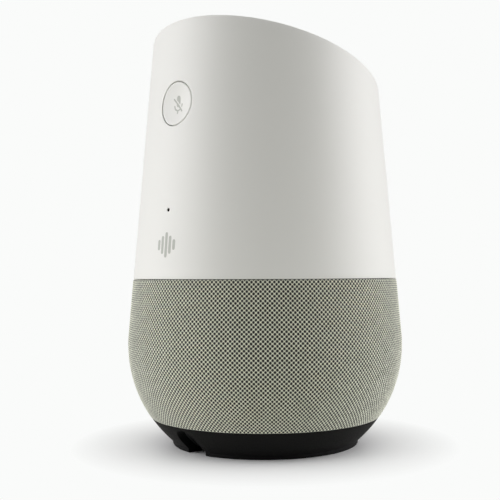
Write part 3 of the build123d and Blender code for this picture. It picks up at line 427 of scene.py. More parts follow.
def nearest(tree, halves, shifts, tall):
    """Distance from a point to the nearest of a checkerboard's cell centres of one colour.

    halves are the half sum and the half difference of the point's cell coordinates, in which one colour's
    centres lie on a square lattice with the given shifts; tall makes the distance grow more slowly upwards.
    """
    off = []
    for half, shift in zip(halves, shifts):
        moved = add(tree, "Math", {0: half, 1: 0.5 + shift}, operation="ADD").outputs[0]
        part = add(tree, "Math", {0: moved}, operation="FRACT").outputs[0]
        off.append(add(tree, "Math", {0: part, 1: 0.5}, operation="SUBTRACT").outputs[0])
    across = add(tree, "Math", {0: off[0], 1: off[1]}, operation="ADD").outputs[0]
    up = add(tree, "Math", {0: off[0], 1: off[1]}, operation="SUBTRACT").outputs[0]
    up = add(tree, "Math", {0: up, 1: tall}, operation="DIVIDE").outputs[0]
    squares = [add(tree, "Math", {0: way, 1: way}, operation="MULTIPLY").outputs[0] for way in (across, up)]
    total = add(tree, "Math", dict(enumerate(squares)), operation="ADD").outputs[0]
    return add(tree, "Math", {0: total}, operation="SQRT").outputs[0]


def woven_polyester(sizes):
    """Plain weave of a light warp over a dark weft: upright light lobes with dark dots between them, each lobe
    with a painted shade that darkens it towards its edges.
    """
    material, tree, shader = new_material("woven_polyester", Roughness=0.85,
                                          **{"Sheen Weight": 0.5, "Sheen Roughness": 0.5})
    threads = add(tree, "UVMap", uv_map="threads").outputs["UV"]
    wobble = add(tree, "TexNoise", {"Vector": threads, "Scale": 0.35, "Detail": 2}).outputs["Color"]
    push = add(tree, "VectorMath", {0: wobble, 1: (0.5, 0.5, 0.5)}, operation="SUBTRACT").outputs["Vector"]
    push = add(tree, "VectorMath", {0: push, "Scale": 0.35}, operation="SCALE").outputs["Vector"]
    threads = add(tree, "VectorMath", {0: threads, 1: push}, operation="ADD").outputs["Vector"]
    cell = add(tree, "SeparateXYZ", {"Vector": threads})
    halves = []
    for way in ("ADD", "SUBTRACT"):
        both = add(tree, "Math", {0: cell.outputs["X"], 1: cell.outputs["Y"]}, operation=way).outputs[0]
        halves.append(add(tree, "Math", {0: both, 1: 0.5}, operation="MULTIPLY").outputs[0])
    dot = nearest(tree, halves, (0.0, 0.5), 1.1)
    lobe = nearest(tree, halves, (0.5, 0.0), 1.3)
    fibre = add(tree, "TexNoise", {"Vector": threads, "Scale": 3.1, "Detail": 3})
    light = add(tree, "MapRange", dict(zip(RANGE, (dot, 0.45, 0.70))), **SMOOTH).outputs["Result"]
    # Painted shade: each light lobe is darkened from its centre to 0.8 at its edges, as if its rounding turned
    # away from the light; the fibre noise then varies the tone at random.
    for span, way in (((lobe, 0.1, 0.75, 1.0, 0.8), SMOOTH),
                      ((fibre.outputs["Fac"], 0.25, 0.75, 0.82, 1.0), {})):
        share = add(tree, "MapRange", dict(zip(RANGE, span)), **way).outputs["Result"]
        light = add(tree, "Math", {0: light, 1: share}, operation="MULTIPLY").outputs[0]
    tone = add(tree, "Mix", {"Factor": light, 6: rgba(sizes.dark), 7: rgba(sizes.light)}, data_type="RGBA")
    bump = add(tree, "Bump", {"Height": light, "Distance": 0.2 * MM, "Strength": 0.6})
    tree.links.new(tone.outputs[2], shader.inputs["Base Color"])
    tree.links.new(bump.outputs["Normal"], shader.inputs["Normal"])
    return material


def finish(name, code, *values, **shader_inputs):
    """Entry of the finish table: a textured material with an sRGB hex colour, made when it is first used."""
    return partial(textured, name, linear(code), *values, **shader_inputs)


# Each finish: material and process, colour, roughness, grain and relief in millimetres.
FINISHES = {
    # fine matte moulding of the touch surface: even, with a soft sheen
    "panel_plastic": finish("moulded_pc_fine_matte", "E4E5DF", 0.42, 0.35, 0.004, mottle=0.01),
    # moulded grey ABS: dull ribs and slots behind the fabric
    "grille_plastic": finish("moulded_abs_grey", "2A2C2B", 0.55, 0.5, 0.01),
    # bright nickel over pressed ferrite: clean discs with a slightly uneven mirror
    "magnet_nickel": finish("nickel_plate", "B9B4A8", 0.24, 0.6, 0.002, Metallic=1.0),
    # cast opal acrylic: milky and even
    "guide_acrylic": finish("opal_acrylic", "EDEEE9", 0.3, 1.2, 0.002, mottle=0.01),
    # glass-fibre laminate under green solder mask: glossy with a faint weave
    "board_laminate": finish("solder_masked_laminate", "1F5A38", 0.32, 0.8, 0.006, mottle=0.12),
    # clear epoxy over a yellow die
    "led_resin": finish("cast_epoxy_resin", "F0E9B8", 0.2, 0.5, 0.001),
    # tinned sheet steel: soft grey shine with rolling streaks
    "can_steel": finish("tinned_steel", "A9ABA9", 0.34, 0.5, 0.002, Metallic=1.0, stretch=(1, 6, 1)),
    # open-cell foam: dark and pitted
    "gasket_foam": finish("cut_foam", "242424", 0.95, 0.35, 0.08, mottle=0.15),
    # glass-filled nylon: dark grey with a dry skin
    "frame_plastic": finish("glass_filled_nylon", "3A3C3D", 0.58, 0.6, 0.012, mottle=0.08),
    # zinc-plated steel screws
    "screw_steel": finish("zinc_plated_steel", "9EA0A3", 0.3, 0.4, 0.004, Metallic=1.0),
    # black switch housing
    "switch_plastic": finish("moulded_pbt", "1C1D1E", 0.5, 0.4, 0.005),
    # white acetal plunger: waxy and smooth
    "plunger_plastic": finish("acetal", "DAD8CE", 0.38, 0.8, 0.002),
    # thick black ABS box with a moulded spark grain
    "box_plastic": finish("moulded_abs_black", "202223", 0.52, 0.5, 0.014, mottle=0.06),
    # black moulding compound of the chips
    "chip_epoxy": finish("moulding_compound", "161718", 0.45, 0.3, 0.006),
    # soft filled silicone: pinkish grey and dull
    "pad_silicone": finish("filled_silicone", "8E8F96", 0.8, 0.7, 0.02),
    # rolled aluminium sheet with a fine direction
    "spreader_aluminium": finish("rolled_aluminium", "B8BCBF", 0.33, 0.35, 0.004, Metallic=1.0,
                                 stretch=(1, 12, 1)),
    # copper on brown film
    "antenna_film": finish("copper_film", "8A5A33", 0.4, 0.6, 0.003),
    # thin coaxial jacket: black and smooth
    "cable_jacket": finish("extruded_fep", "1A1A1C", 0.35, 0.8, 0.003),
    # extruded wire insulation
    "wire_insulation": finish("extruded_pvc", "8B1F1B", 0.42, 0.8, 0.004),
    # amber polyimide ribbon
    "ribbon_film": finish("polyimide_film", "B5752A", 0.3, 1.0, 0.003, mottle=0.1),
    # painted steel basket
    "basket_steel": finish("powder_coated_steel", "2B2D2F", 0.48, 0.35, 0.02, mottle=0.08),
    # zinc-chromated motor parts
    "motor_steel": finish("chromated_steel", "8F8C7C", 0.36, 0.6, 0.006, Metallic=1.0),
    # pressed paper pulp: fibrous and dry
    "cone_paper": finish("pressed_paper_pulp", "38393A", 0.9, 0.7, 0.05, mottle=0.18, cloud=4),
    # enamelled copper winding
    "coil_copper": finish("enamelled_copper", "B5683C", 0.3, 0.3, 0.02, Metallic=1.0, stretch=(1, 12, 1)),
    # resin-dipped cotton cloth
    "spider_cloth": finish("resin_dipped_cloth", "B08A4A", 0.8, 0.5, 0.06, mottle=0.15),
    # soft butyl roll: deep black with a dull sheen
    "surround_rubber": finish("moulded_butyl", "151617", 0.62, 0.5, 0.008, mottle=0.1),
    # flat composite diaphragm
    "diaphragm_composite": finish("pressed_composite", "303234", 0.5, 0.9, 0.02, mottle=0.12, cloud=6),
    # brown paper laminate of the terminal block
    "terminal_board": finish("paper_laminate", "6E4A28", 0.6, 0.5, 0.01, mottle=0.1),
    # black nylon of the power socket
    "jack_plastic": finish("moulded_nylon", "1A1B1C", 0.45, 0.5, 0.006),
    # nickel-plated contact
    "pin_nickel": finish("nickel_plated_brass", "C9C3B2", 0.22, 0.5, 0.002, Metallic=1.0),
}


def shell_skin(rgb):
    """Satin moulded polycarbonate blend: nearly white, with a faint spark-eroded grain that softens lights."""
    return textured("moulded_pc_satin", rgb, 0.46, 0.45, 0.003, mottle=0.006, cloud=30, IOR=1.5)


def printed_ink(rgb):
    """Pad-printed ink: a thin grey film, a little rougher than the plastic under it."""
    return textured("pad_printed_ink", rgb, 0.6, 0.3, 0.001, mottle=0.02, cloud=3)


def foot_rubber(rgb):
    """Moulded silicone rubber: matte black, a fine sand grain and no clear reflection."""
    return textured("moulded_silicone_rubber", rgb, 0.7, 0.4, 0.01, mottle=0.1, cloud=8,
                    **{"Specular IOR Level": 0.15})


# --- Shell

SHELL_COLUMNS = 288
# Half widths, in columns, of the blocks of cells that the two holes replace; the form's radius at each, as a
# share of the belly's; and the wall's rows below, between and above the blocks.
BUTTON_BLOCK, PINHOLE_BLOCK = 11, 2
BUTTON_SHARE, PINHOLE_SHARE = 0.86, 0.93
WALL_ROWS = (14, 16, 12)


def rim_rings(turn, edge, rim):
    """Rings over the rim: a rounded outer edge, the land, a rounded inner edge and down to the panel's seat."""
    angle = quarter(EDGE_STEPS)
    inset = np.concatenate([edge * (1 - np.cos(angle)), rim - edge * np.cos(np.r_[0, angle]), [rim]])
    depth = np.concatenate([-edge * (1 - np.sin(angle)), -edge * (1 - np.cos(np.r_[0, angle])), [PANEL_LOW]])
    inset[3:7] = rim - edge + edge * np.sin(np.r_[0, angle])
    height = rim_height(turn, inset[:, None], depth[:, None])
    return turned(form_radius(height, inset[:, None]), turn, height)


def seam_rings(turn, edge, wall):
    """Rings under the shell: round the inner edge, across the seam and round the outer edge."""
    angle = quarter(EDGE_STEPS)
    back = np.r_[0, angle[:-1]]
    inset = np.concatenate([wall - edge * (1 - np.cos(angle)), edge * (1 - np.sin(back))])
    height = SEAM_Z + np.concatenate([edge * (1 - np.sin(angle)), edge * (1 - np.cos(back))])
    return turned(form_radius(height, inset)[:, None], turn, height[:, None])


def wall_knots(low, top):
    """Shares of the wall's height for its rows: even within each stretch, with a row on each edge of the
    two blocks of cells that the pinhole and the button hole replace."""
    button = BUTTON_BLOCK * BELLY_R * BUTTON_SHARE * FULL_TURN / SHELL_COLUMNS
    pinhole = PINHOLE_BLOCK * BELLY_R * PINHOLE_SHARE * FULL_TURN / SHELL_COLUMNS
    stops = [low, PINHOLE_Z - pinhole, PINHOLE_Z + pinhole, BUTTON_Z - button, BUTTON_Z + button, top]
    counts = [WALL_ROWS[0], 2 * PINHOLE_BLOCK, WALL_ROWS[1], 2 * BUTTON_BLOCK, WALL_ROWS[2]]
    rows = [np.linspace(stops[i], stops[i + 1], counts[i], endpoint=False) for i in range(len(counts))]
    first = np.cumsum([0] + counts)
    return (np.append(np.concatenate(rows), top) - low) / (top - low), first


def block_loop(index, rows, columns):
    """Point numbers round a block of cells, anticlockwise from outside."""
    low, high = rows
    left, right = columns
    return np.concatenate([index[low, left:right], index[low:high, right],
                           index[high, right:left:-1], index[high:low:-1, left]])


def hole_rings(outer, inner, centre, radius, edge, wall):
    """Rings of a round hole through both walls, between the loops round the blocks that it replaces.

    Each ring's points lie on the rays of the outer loop's points: first on the outer surface from the loop
    in to the hole, then round the edge, down the hole and out on the inner surface to the other loop.
    """
    near = (outer - slope_origin(centre)) @ SLOPE_AXES.T
    far = (inner - slope_origin(centre)) @ SLOPE_AXES.T
    ray = np.arctan2(near[:, 1], near[:, 0])
    circle = np.stack([np.cos(ray), np.sin(ray)], axis=-1)
    rings = []
    for share in (0.4, 0.75):
        spot = (1 - share) * near[:, :2] + share * circle * (radius + edge)
        rings.append((spot, slope_out(centre, spot[:, 0], spot[:, 1])))
    for angle in np.r_[0, quarter(EDGE_STEPS)]:
        spot = circle * (radius + edge * (1 - math.sin(angle)))
        rings.append((spot, slope_out(centre, spot[:, 0], spot[:, 1]) - edge * (1 - math.cos(angle))))
    for share in (0, 0.5):
        spot = (1 - share) * circle * radius + share * far[:, :2]
        rings.append((spot, slope_out(centre, spot[:, 0], spot[:, 1], wall)))
    return np.stack([on_slope(centre, spot[:, 0], spot[:, 1], out) for spot, out in rings])


def shell_surface(sizes):
    """Closed surface of the shell: section points by turns, as rows that run up the outer wall, over the rim,
    down the inner wall and across the seam, with two round holes on the +Y side."""
    turn = np.linspace(0, FULL_TURN, SHELL_COLUMNS, endpoint=False)
    low = SEAM_Z + sizes.seam
    top = rim_height(turn, 0, -sizes.edge)
    knots, first = wall_knots(low, float(rim_height(math.pi / 2, 0, -sizes.edge)))
    height = low + knots[:, None] * (top - low)
    outer = turned(form_radius(height), turn, height)
    block_top = height[first[4]]
    ledge = rim_height(turn, sizes.wall, PANEL_LOW)
    share = np.clip((knots - knots[first[4]]) / (1 - knots[first[4]]), 0, 1)[:, None]
    inner_height = np.where(share > 0, block_top + share * (ledge - block_top), height)
    inner = turned(form_radius(inner_height, sizes.wall), turn, inner_height)[::-1]
    over = rim_rings(turn, sizes.edge, sizes.rim)
    under = seam_rings(turn, sizes.seam, sizes.wall)
    points = np.concatenate([outer, over, inner, under])
    index = grid_index(len(points), SHELL_COLUMNS)
    inner_row = len(outer) + len(over) + len(inner) - 1
    keep = np.ones((len(points), SHELL_COLUMNS), bool)
    points = points.reshape(-1, 3)
    faces = []
    middle = SHELL_COLUMNS // 4
    for span, half, centre, radius in ((3, BUTTON_BLOCK, BUTTON_Z, sizes.hole),
                                       (1, PINHOLE_BLOCK, PINHOLE_Z, sizes.pinhole)):
        rows = np.array([first[span], first[span + 1]])
        columns = (middle - half, middle + half)
        keep[rows[0]:rows[1], columns[0]:columns[1]] = False
        keep[inner_row - rows[1]:inner_row - rows[0], columns[0]:columns[1]] = False
        near = block_loop(index, rows, columns)
        far = block_loop(index[inner_row::-1], rows, columns)
        rings = hole_rings(points[near], points[far], centre, radius, sizes.edge / 2, sizes.wall)
        new = grid_index(len(rings), len(near), len(points))
        faces.append(quads(closed(np.concatenate([[near], new, [far]]), 1)))
        points = np.concatenate([points, rings.reshape(-1, 3)])
    faces.append(quads(closed(closed(index, 0), 1))[keep.ravel()])
    return points, faces


# Dark foam cup that lines the pinhole, a painted shade for the hole's dark inside: its clearance, its thickness
# and how far its rim lies below the shell.
SHADE_CUP_GAP, SHADE_CUP_T, SHADE_CUP_SINK = 0.02 * MM, 0.12 * MM, 0.2 * MM


def post_rings(radius, bore, low, high, depth):
    """Section of a screw post with a blind hole from its low end, turned about its own axis."""
    return lathe([radius, radius, AXIS_R, AXIS_R, bore, bore],
                 [low, high, high, low + depth, low + depth, low], SMALL_ROUND)


def cup_rings(radius, depth):
    """Section of a thin cup with its open end out, that lines a hole of a radius and a depth."""
    inner = radius - SHADE_CUP_T
    return lathe([inner, radius, radius, AXIS_R, AXIS_R, inner],
                 [-SHADE_CUP_SINK, -SHADE_CUP_SINK, -depth, -depth, SHADE_CUP_T - depth, SHADE_CUP_T - depth], SMALL_ROUND)[::-1]


class SPEAKER_OT_shell(bpy.types.Operator):
    """Moulded upper shell with its button hole, pinhole and inner screw posts"""
    bl_idname = "speaker.shell"
    bl_label = "Shell"

    def execute(self, context):
        sizes = context.scene.speaker_shell
        skin = shell_skin(sizes.skin)
        points, faces = shell_surface(sizes)
        make_piece("upper_shell_skin", points, faces, skin, "unit", ["upper_shell"], sharp=40)
        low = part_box("enclosure_lid")[1].z
        post = post_rings(POST_R, POST_BORE, low, low + POST_H, POST_HOLE)
        groups = []
        for turn, _, _ in SPEAKERS.values():
            spin = math.radians(turn - 90)
            groups.append(post + POST_RING_R * np.array([math.cos(spin), math.sin(spin), 0]))
        post = post_rings(SWITCH_POST_R, SWITCH_POST_BORE, SWITCH_POST_LOW, SWITCH_POST_HIGH,
                          SWITCH_POST_HOLE)
        for side in (-SWITCH_POST_X, SWITCH_POST_X):
            groups.append(on_slope(BUTTON_Z, post[..., 0] + side, post[..., 1], post[..., 2]))
        points = np.concatenate([rings.reshape(-1, 3) for rings in groups])
        faces = [solid_rings(rings, i * rings.shape[0] * rings.shape[1]) for i, rings in enumerate(groups)]
        make_piece("upper_shell_posts", points, faces, skin, "unit")
        # Painted shade: a dark foam cup in the pinhole makes the hole read dark.
        cup = cup_rings(sizes.pinhole - SHADE_CUP_GAP, sizes.wall)
        cup = on_slope(PINHOLE_Z, cup[..., 0], cup[..., 1], cup[..., 2])
        make_piece("pinhole_boot", cup, [solid_rings(cup)], node_material("gasket_foam"), "unit")
        return {"FINISHED"}


# --- Button and printed signs

FLANGE_T = 0.9 * MM
FLANGE_DROP = 2.5 * MM
BRIM_INSET = 2.7 * MM
STEM_LOW = -6.4 * MM
CAP_EDGE = 0.25 * MM
CAP_LAND = 0.6 * MM
CAP_ROWS = 33
FILLET = 0.03


def cap_out(sizes, right, up):
    """Distance out to the button's face: the sunk cone less a round dish inside a narrow land.

    The dish is a bowl, one less the square of the radius, with a short fillet where it meets the land.
    """
    bowl = 1 - (np.hypot(right, up) / (sizes.radius - CAP_LAND)) ** 2
    dish = sizes.dish * (bowl + np.sqrt(bowl ** 2 + FILLET ** 2)) / 2
    return slope_out(BUTTON_Z, right, up, sizes.sink) - dish


def button_surface(sizes):
    """Button as rings round its axis: the dished face, a rounded edge, the side, the flange and the stem."""
    turn = np.linspace(0, FULL_TURN, ROUND, endpoint=False)
    high = -FLANGE_DROP - sizes.radius ** 2 / (2 * float(form_radius(BUTTON_Z)))
    low = high - FLANGE_T

    def ring(radius, out=None, drop=0.0):
        right, up = radius * np.cos(turn), radius * np.sin(turn)
        return on_slope(BUTTON_Z, right, up, cap_out(sizes, right, up) - drop if out is None else out)

    rows = [ring(radius) for radius in np.linspace(0, sizes.radius - CAP_EDGE, CAP_ROWS)[1:]]
    rows += [ring(sizes.radius - CAP_EDGE * (1 - math.sin(a)), drop=CAP_EDGE * (1 - math.cos(a)))
             for a in quarter(EDGE_STEPS)]
    brim = slope_out(BUTTON_Z, sizes.flange * np.cos(turn), sizes.flange * np.sin(turn), BRIM_INSET)
    rows += [ring(sizes.radius, high), ring(sizes.flange, np.minimum(high, brim)), ring(sizes.flange, low),
             ring(sizes.stem, low), ring(sizes.stem, STEM_LOW)]
    rings = np.stack(rows)
    poles = on_slope(BUTTON_Z, np.zeros(2), np.zeros(2), np.array([float(cap_out(sizes, 0, 0)), STEM_LOW]))
    index = grid_index(len(rings), ROUND)
    points = np.concatenate([rings.reshape(-1, 3), poles])
    faces = [quads(closed(index[::-1], 1)), fan(index.size, index[0]),
             fan(index.size + 1, index[-1][::-1])]
    return points, faces


class SPEAKER_OT_button(bpy.types.Operator):
    """Mute button with its finger dish, retaining flange and stem"""
    bl_idname = "speaker.button"
    bl_label = "Mute button"

    def execute(self, context):
        sizes = context.scene.speaker_button
        points, faces = button_surface(sizes)
        skin = bpy.data.materials["moulded_pc_satin"]
        make_piece("mute_button_cap", points, faces, skin, "mute_button", ["mute_button"])
        return {"FINISHED"}


INK_T = 0.03 * MM
SIGN_LIFT = 0.25 * MM


def stroke(path, width, steps=9):
    """Flat band with round ends along a path of (right, up) points, as a grid of points.

    Each row lies across the path; its half width is that of a circle near both ends and full between.
    """
    path = np.asarray(path, float)
    step = np.linalg.norm(np.diff(path, axis=0), axis=1)
    length = np.r_[0, np.cumsum(step)]
    half = width / 2
    cap = half * (1 - np.cos(np.linspace(0, math.pi / 2, steps)))
    inside = length[(length > half) & (length < length[-1] - half)]
    along = np.concatenate([cap, inside, length[-1] - cap[::-1]])
    centre, ahead, behind = (np.stack([np.interp(along + shift, length, way) for way in path.T], axis=-1)
                             for shift in (0, half / 10, -half / 10))
    tangent = (ahead - behind) / np.linalg.norm(ahead - behind, axis=1)[:, None]
    normal = np.stack([-tangent[:, 1], tangent[:, 0]], axis=-1)
    end = np.minimum(np.minimum(along, length[-1] - along), half)
    reach = np.sqrt(np.maximum(half ** 2 - (half - end) ** 2, (half / 50) ** 2))
    across = np.linspace(-1, 1, 5)
    return centre[:, None] + across[None, :, None] * (reach[:, None] * normal)[:, None]


def ink_slab(grid, out, centre):
    """Thin closed slab of ink over a surface: the grid's points just above and just below it."""
    right, up = grid[..., 0], grid[..., 1]
    above, below = (on_slope(centre, right, up, out(right, up) + lift) for lift in (INK_T, -INK_T))
    rows, columns = grid.shape[:2]
    high = grid_index(rows, columns)
    low = grid_index(rows, columns, rows * columns)
    rim = np.concatenate([high[0, :-1], high[:-1, -1], high[-1, :0:-1], high[:0:-1, 0]])
    side = np.stack([rim + rows * columns, rim])
    points = np.concatenate([above.reshape(-1, 3), below.reshape(-1, 3)])
    return points, [quads(high)[:, ::-1], quads(low), quads(closed(side, 1))[:, ::-1]]


def ink_piece(name, grids, out, centre, material, body):
    """One printed piece from several bands."""
    points, faces = [], []
    count = 0
    for grid in grids:
        slab, sides = ink_slab(grid, out, centre)
        faces += [side + count for side in sides]
        points.append(slab)
        count += len(slab)
    return make_piece(name, np.concatenate(points), faces, material, body)


def straight(start, stop):
    """Evenly spaced points from one place to another, in millimetres."""
    return np.linspace(start, stop, 12) * MM


def arc(centre, radius, start, stop):
    """Points on an arc about a centre, in millimetres and degrees."""
    angle = np.radians(np.linspace(start, stop, 24))
    return (np.array(centre) + radius * np.stack([np.cos(angle), np.sin(angle)], axis=-1)) * MM


def crossed_microphone():
    """Bands of a crossed microphone: the slash, the capsule cut beside it, the holder's arc and its stem."""
    slash_low, slash_high = (2.55, -3.0), (-2.05, 1.7)
    slash = stroke(straight(slash_high, slash_low), 0.55 * MM)
    capsule = stroke(straight((0.3, 2.5), (0.3, -1.3)), 1.7 * MM, 14)
    lean = (slash_low[0] - slash_high[0]) / (slash_low[1] - slash_high[1])
    edge = (slash_high[0] + lean * (capsule[:, :1, 1] / MM - slash_high[1])) * MM
    head = capsule.copy()
    head[..., 0] = np.maximum(head[..., 0], edge + 0.95 * MM)
    head = head[(capsule[:, -1, 0] > edge[:, 0] + 1.0 * MM)]
    foot = capsule.copy()
    foot[..., 0] = np.minimum(foot[..., 0], edge)
    foot = foot[(capsule[:, 0, 0] < edge[:, 0] - 0.05 * MM)]
    holder = (0.3, -0.65)
    return [slash, head, foot,
            stroke(arc(holder, 1.8, 178, 308), 0.5 * MM),
            stroke(arc(holder, 1.8, 336, 372), 0.5 * MM),
            stroke(straight((0.3, -2.5), (0.3, -3.6)), 0.55 * MM)]


def sound_bars():
    """Five upright bars of a sound level, the middle one tallest."""
    heights = (3.4, 5.8, 8.2, 5.8, 3.4)
    return [stroke(straight((place, height / 2), (place, -height / 2)), 1.15 * MM)
            for place, height in zip((-3.6, -1.8, 0, 1.8, 3.6), heights)]


class SPEAKER_OT_signs(bpy.types.Operator):
    """Printed signs: a crossed microphone on the button and a plain sound-level mark under the pinhole"""
    bl_idname = "speaker.signs"
    bl_label = "Printed signs"

    def execute(self, context):
        sizes = context.scene.speaker_button
        ink = printed_ink(sizes.ink)
        microphone = [grid + np.array([0, SIGN_LIFT]) for grid in crossed_microphone()]
        ink_piece("crossed_microphone_print", microphone, partial(cap_out, sizes), BUTTON_Z, ink, "mute_button")
        ink_piece("sound_bars_print", sound_bars(), partial(slope_out, MARK_Z), MARK_Z, ink, "unit")
        return {"FINISHED"}


# --- Sleeve

def sleeve_surface(sizes):
    """Closed woven sleeve: rows of crossings up the form's section, one point to a crossing, with each other
    crossing of the checkerboard standing out and the rest pressed in; the ends roll over to a plain inside.

    The last value holds each corner's coordinates in crossings: along the round and up the section.
    """
    columns = 2 * round(math.pi * BELLY_R / sizes.pitch)
    low, high = form_length(FABRIC_LOW), form_length(FABRIC_HIGH)
    half = sizes.thickness / 2
    count = round((high - low - 2 * half) / sizes.pitch)
    along = low + half + (np.arange(count) + 0.5) * (high - low - 2 * half) / count
    roll = np.linspace(0, math.pi, 7)
    length = np.concatenate([along, high - half + half * np.sin(roll),
                             np.linspace(high - half, low + half, 10)[1:-1],
                             low + half - half * np.sin(roll)])
    inset = np.concatenate([np.zeros(count), half * (1 - np.cos(roll)), np.full(8, sizes.thickness),
                            half * (1 + np.cos(roll))])
    turn = (np.arange(columns) + 0.5) * FULL_TURN / columns
    parity = (np.arange(count)[:, None] + np.arange(columns)) % 2
    offset = np.zeros((len(length), columns))
    offset[:count] = sizes.relief * (1 - 2 * parity)
    radius, height = form_path(length[:, None], inset[:, None] - offset)
    points = turned(radius, turn, height)
    index = grid_index(len(length), columns)
    up = np.concatenate([np.arange(count) + 0.5, count + np.linspace(0, 1, 7), np.linspace(count, 0, 8),
                         np.linspace(-1, 0, 7)])
    place = np.stack(np.broadcast_arrays(np.arange(columns + 1) + 0.5, up[:, None]), axis=-1)
    place = np.concatenate([place, place[:1]], axis=0)
    corners = np.stack([place[:-1, :-1], place[:-1, 1:], place[1:, 1:], place[1:, :-1]], axis=2)
    return points, [quads(closed(closed(index, 0), 1))], corners.reshape(-1, 2)


class SPEAKER_OT_sleeve(bpy.types.Operator):
    """Woven sleeve stretched over the base"""
    bl_idname = "speaker.sleeve"
    bl_label = "Woven sleeve"

    def execute(self, context):
        sizes = context.scene.speaker_sleeve
        points, faces, corners = sleeve_surface(sizes)
        sleeve = make_piece("woven_sleeve", points, faces, woven_polyester(sizes), "base", ["base_fabric"],
                            sharp=180, uv=corners)
        return {"FINISHED"}


# --- Foot

FOOT_COLUMNS = 241
CROWN_GAP = 1e-7


def foot_section(sizes):
    """Radius and height of the foot's section as a closed loop: the sole's upright side, up the form, over
    the top, down the inside and back along the sole; and where the arch's rows start and stop."""
    spring = sizes.arch - sizes.notch / 2
    arch = spring + sizes.notch / 2 * np.sin(np.r_[0, quarter(12)])
    bend = np.linspace(-math.pi / 2, 0, 5)
    side_r = float(form_radius(sizes.side))
    outer_z = np.concatenate([[sizes.side], np.linspace(sizes.side, spring, 6)[1:-1], arch, [FOOT_H]])
    inner_z = np.concatenate([[FOOT_H], arch[::-1], np.linspace(spring, sizes.sole, 4)[1:]])
    radius = np.concatenate([side_r - sizes.edge + sizes.edge * np.cos(bend), form_radius(outer_z),
                             form_radius(inner_z, sizes.wall), [sizes.bore, sizes.bore]])
    height = np.concatenate([sizes.edge + sizes.edge * np.sin(bend), outer_z, inner_z, [sizes.sole, 0]])
    outer_arch = len(bend) + 5
    inner_arch = len(bend) + len(outer_z) + 1
    return radius, height, outer_arch, inner_arch, len(arch)


def foot_surface(sizes):
    """Foot as its section carried round from one side of the cable notch to the other.

    Each point's turn starts and stops where its radius meets the notch, whose half width is that of an arch:
    straight up to the spring, then the root of the half width squared less the rise squared, and nothing
    above the crown, where both ends meet in one point. Flat faces close the two cut ends.
    """
    radius, height, outer_arch, inner_arch, steps = foot_section(sizes)
    half = sizes.notch / 2
    rise = np.maximum(height - (sizes.arch - half), 0)
    width = np.sqrt(np.maximum(half ** 2 - rise ** 2, 0))
    width[height > sizes.arch - CROWN_GAP] = 0
    gap = np.arcsin(width / radius)[:, None]
    share = np.linspace(0, 1, FOOT_COLUMNS)
    turn = math.pi / 2 + gap + share * (FULL_TURN - 2 * gap)
    points = turned(radius[:, None], turn, height[:, None])
    index = grid_index(*turn.shape)
    whole = width == 0
    index[whole, -1] = index[whole, 0]
    faces = [quads(closed(index, 0))]
    count = len(radius)
    below = np.r_[np.arange(0, outer_arch + 1), np.arange(inner_arch + steps - 1, count)]
    outer = np.arange(outer_arch, outer_arch + steps)
    inner = np.arange(inner_arch + steps - 1, inner_arch - 1, -1)
    for column, order in ((0, 1), (-1, -1)):
        faces.append(index[below, column][None, ::order])
        strip = np.stack([index[outer, column], index[inner, column]], axis=1)
        sides = np.stack([strip[:-1, 0], strip[1:, 0], strip[1:, 1], strip[:-1, 1]], axis=-1)
        faces.append(sides[:, ::order])
    return points.reshape(-1, 3), faces


class SPEAKER_OT_foot(bpy.types.Operator):
    """Rubber foot with its arched cable notch"""
    bl_idname = "speaker.foot"
    bl_label = "Rubber foot"

    def execute(self, context):
        sizes = context.scene.speaker_foot
        points, faces = foot_surface(sizes)
        make_piece("rubber_foot", points, faces, foot_rubber(sizes.rubber), "base", ["foot_ring"])
        return {"FINISHED"}


# --- Speakers' rubber rolls

def roll_rings(inner, outer):
    """Section of a rubber half roll with a flat lip on each side, turned about the speaker's axis: the upper
    arc has the roll's radius, the lower one is smaller by the rubber's thickness."""
    middle, roll = (inner + outer) / 2, (outer - inner) / 2
    over = np.linspace(math.pi, 0, 15)[1:-1]
    under = np.linspace(0, math.pi, 15)
    thin = roll - ROLL_T
    radius = np.concatenate([[inner - ROLL_LIP], middle + roll * np.cos(over), [outer + ROLL_LIP] * 2,
                             middle + thin * np.cos(under), [inner - ROLL_LIP]])
    height = np.concatenate([[ROLL_T], np.maximum(roll * np.sin(over), ROLL_T), [ROLL_T, 0],
                             thin * np.sin(under), [0]])
    return lathe(radius, height, ROUND)[::-1]


def spider_rings(inner, outer, height):
    """Section of a corrugated disc turned about the speaker's axis: a sine wave along the radius, level with
    its seats at both ends, and the same wave again a cloth's thickness below."""
    radius = np.linspace(inner, outer, WAVE_STEPS * SPIDER_WAVES + 1)
    share = (radius - inner) / (outer - inner)
    lift = (height - SPIDER_T) * (1 + np.sin(FULL_TURN * SPIDER_WAVES * share)) / 2
    return lathe(np.r_[radius, radius[::-1]], np.r_[lift + SPIDER_T, lift[::-1]], ROUND)[::-1]


def on_face(rings, turn, seat):
    """Points of a speaker's own frame, whose height points out of the box, at their place in the speaker."""
    spin = math.radians(turn)
    side, out = rings[..., 0], -seat - rings[..., 2]
    x = side * math.cos(spin) - out * math.sin(spin)
    y = side * math.sin(spin) + out * math.cos(spin)
    return np.stack([x, y, SPEAKER_Z + rings[..., 1]], axis=-1)


def flex(piece):
    """Bake a round piece's place into its points and read the points out; the piece is not made to bend with a
    moving body."""
    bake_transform(piece)
    spots = np.zeros(len(piece.data.vertices) * 3, np.float32)
    piece.data.vertices.foreach_get("co", spots)


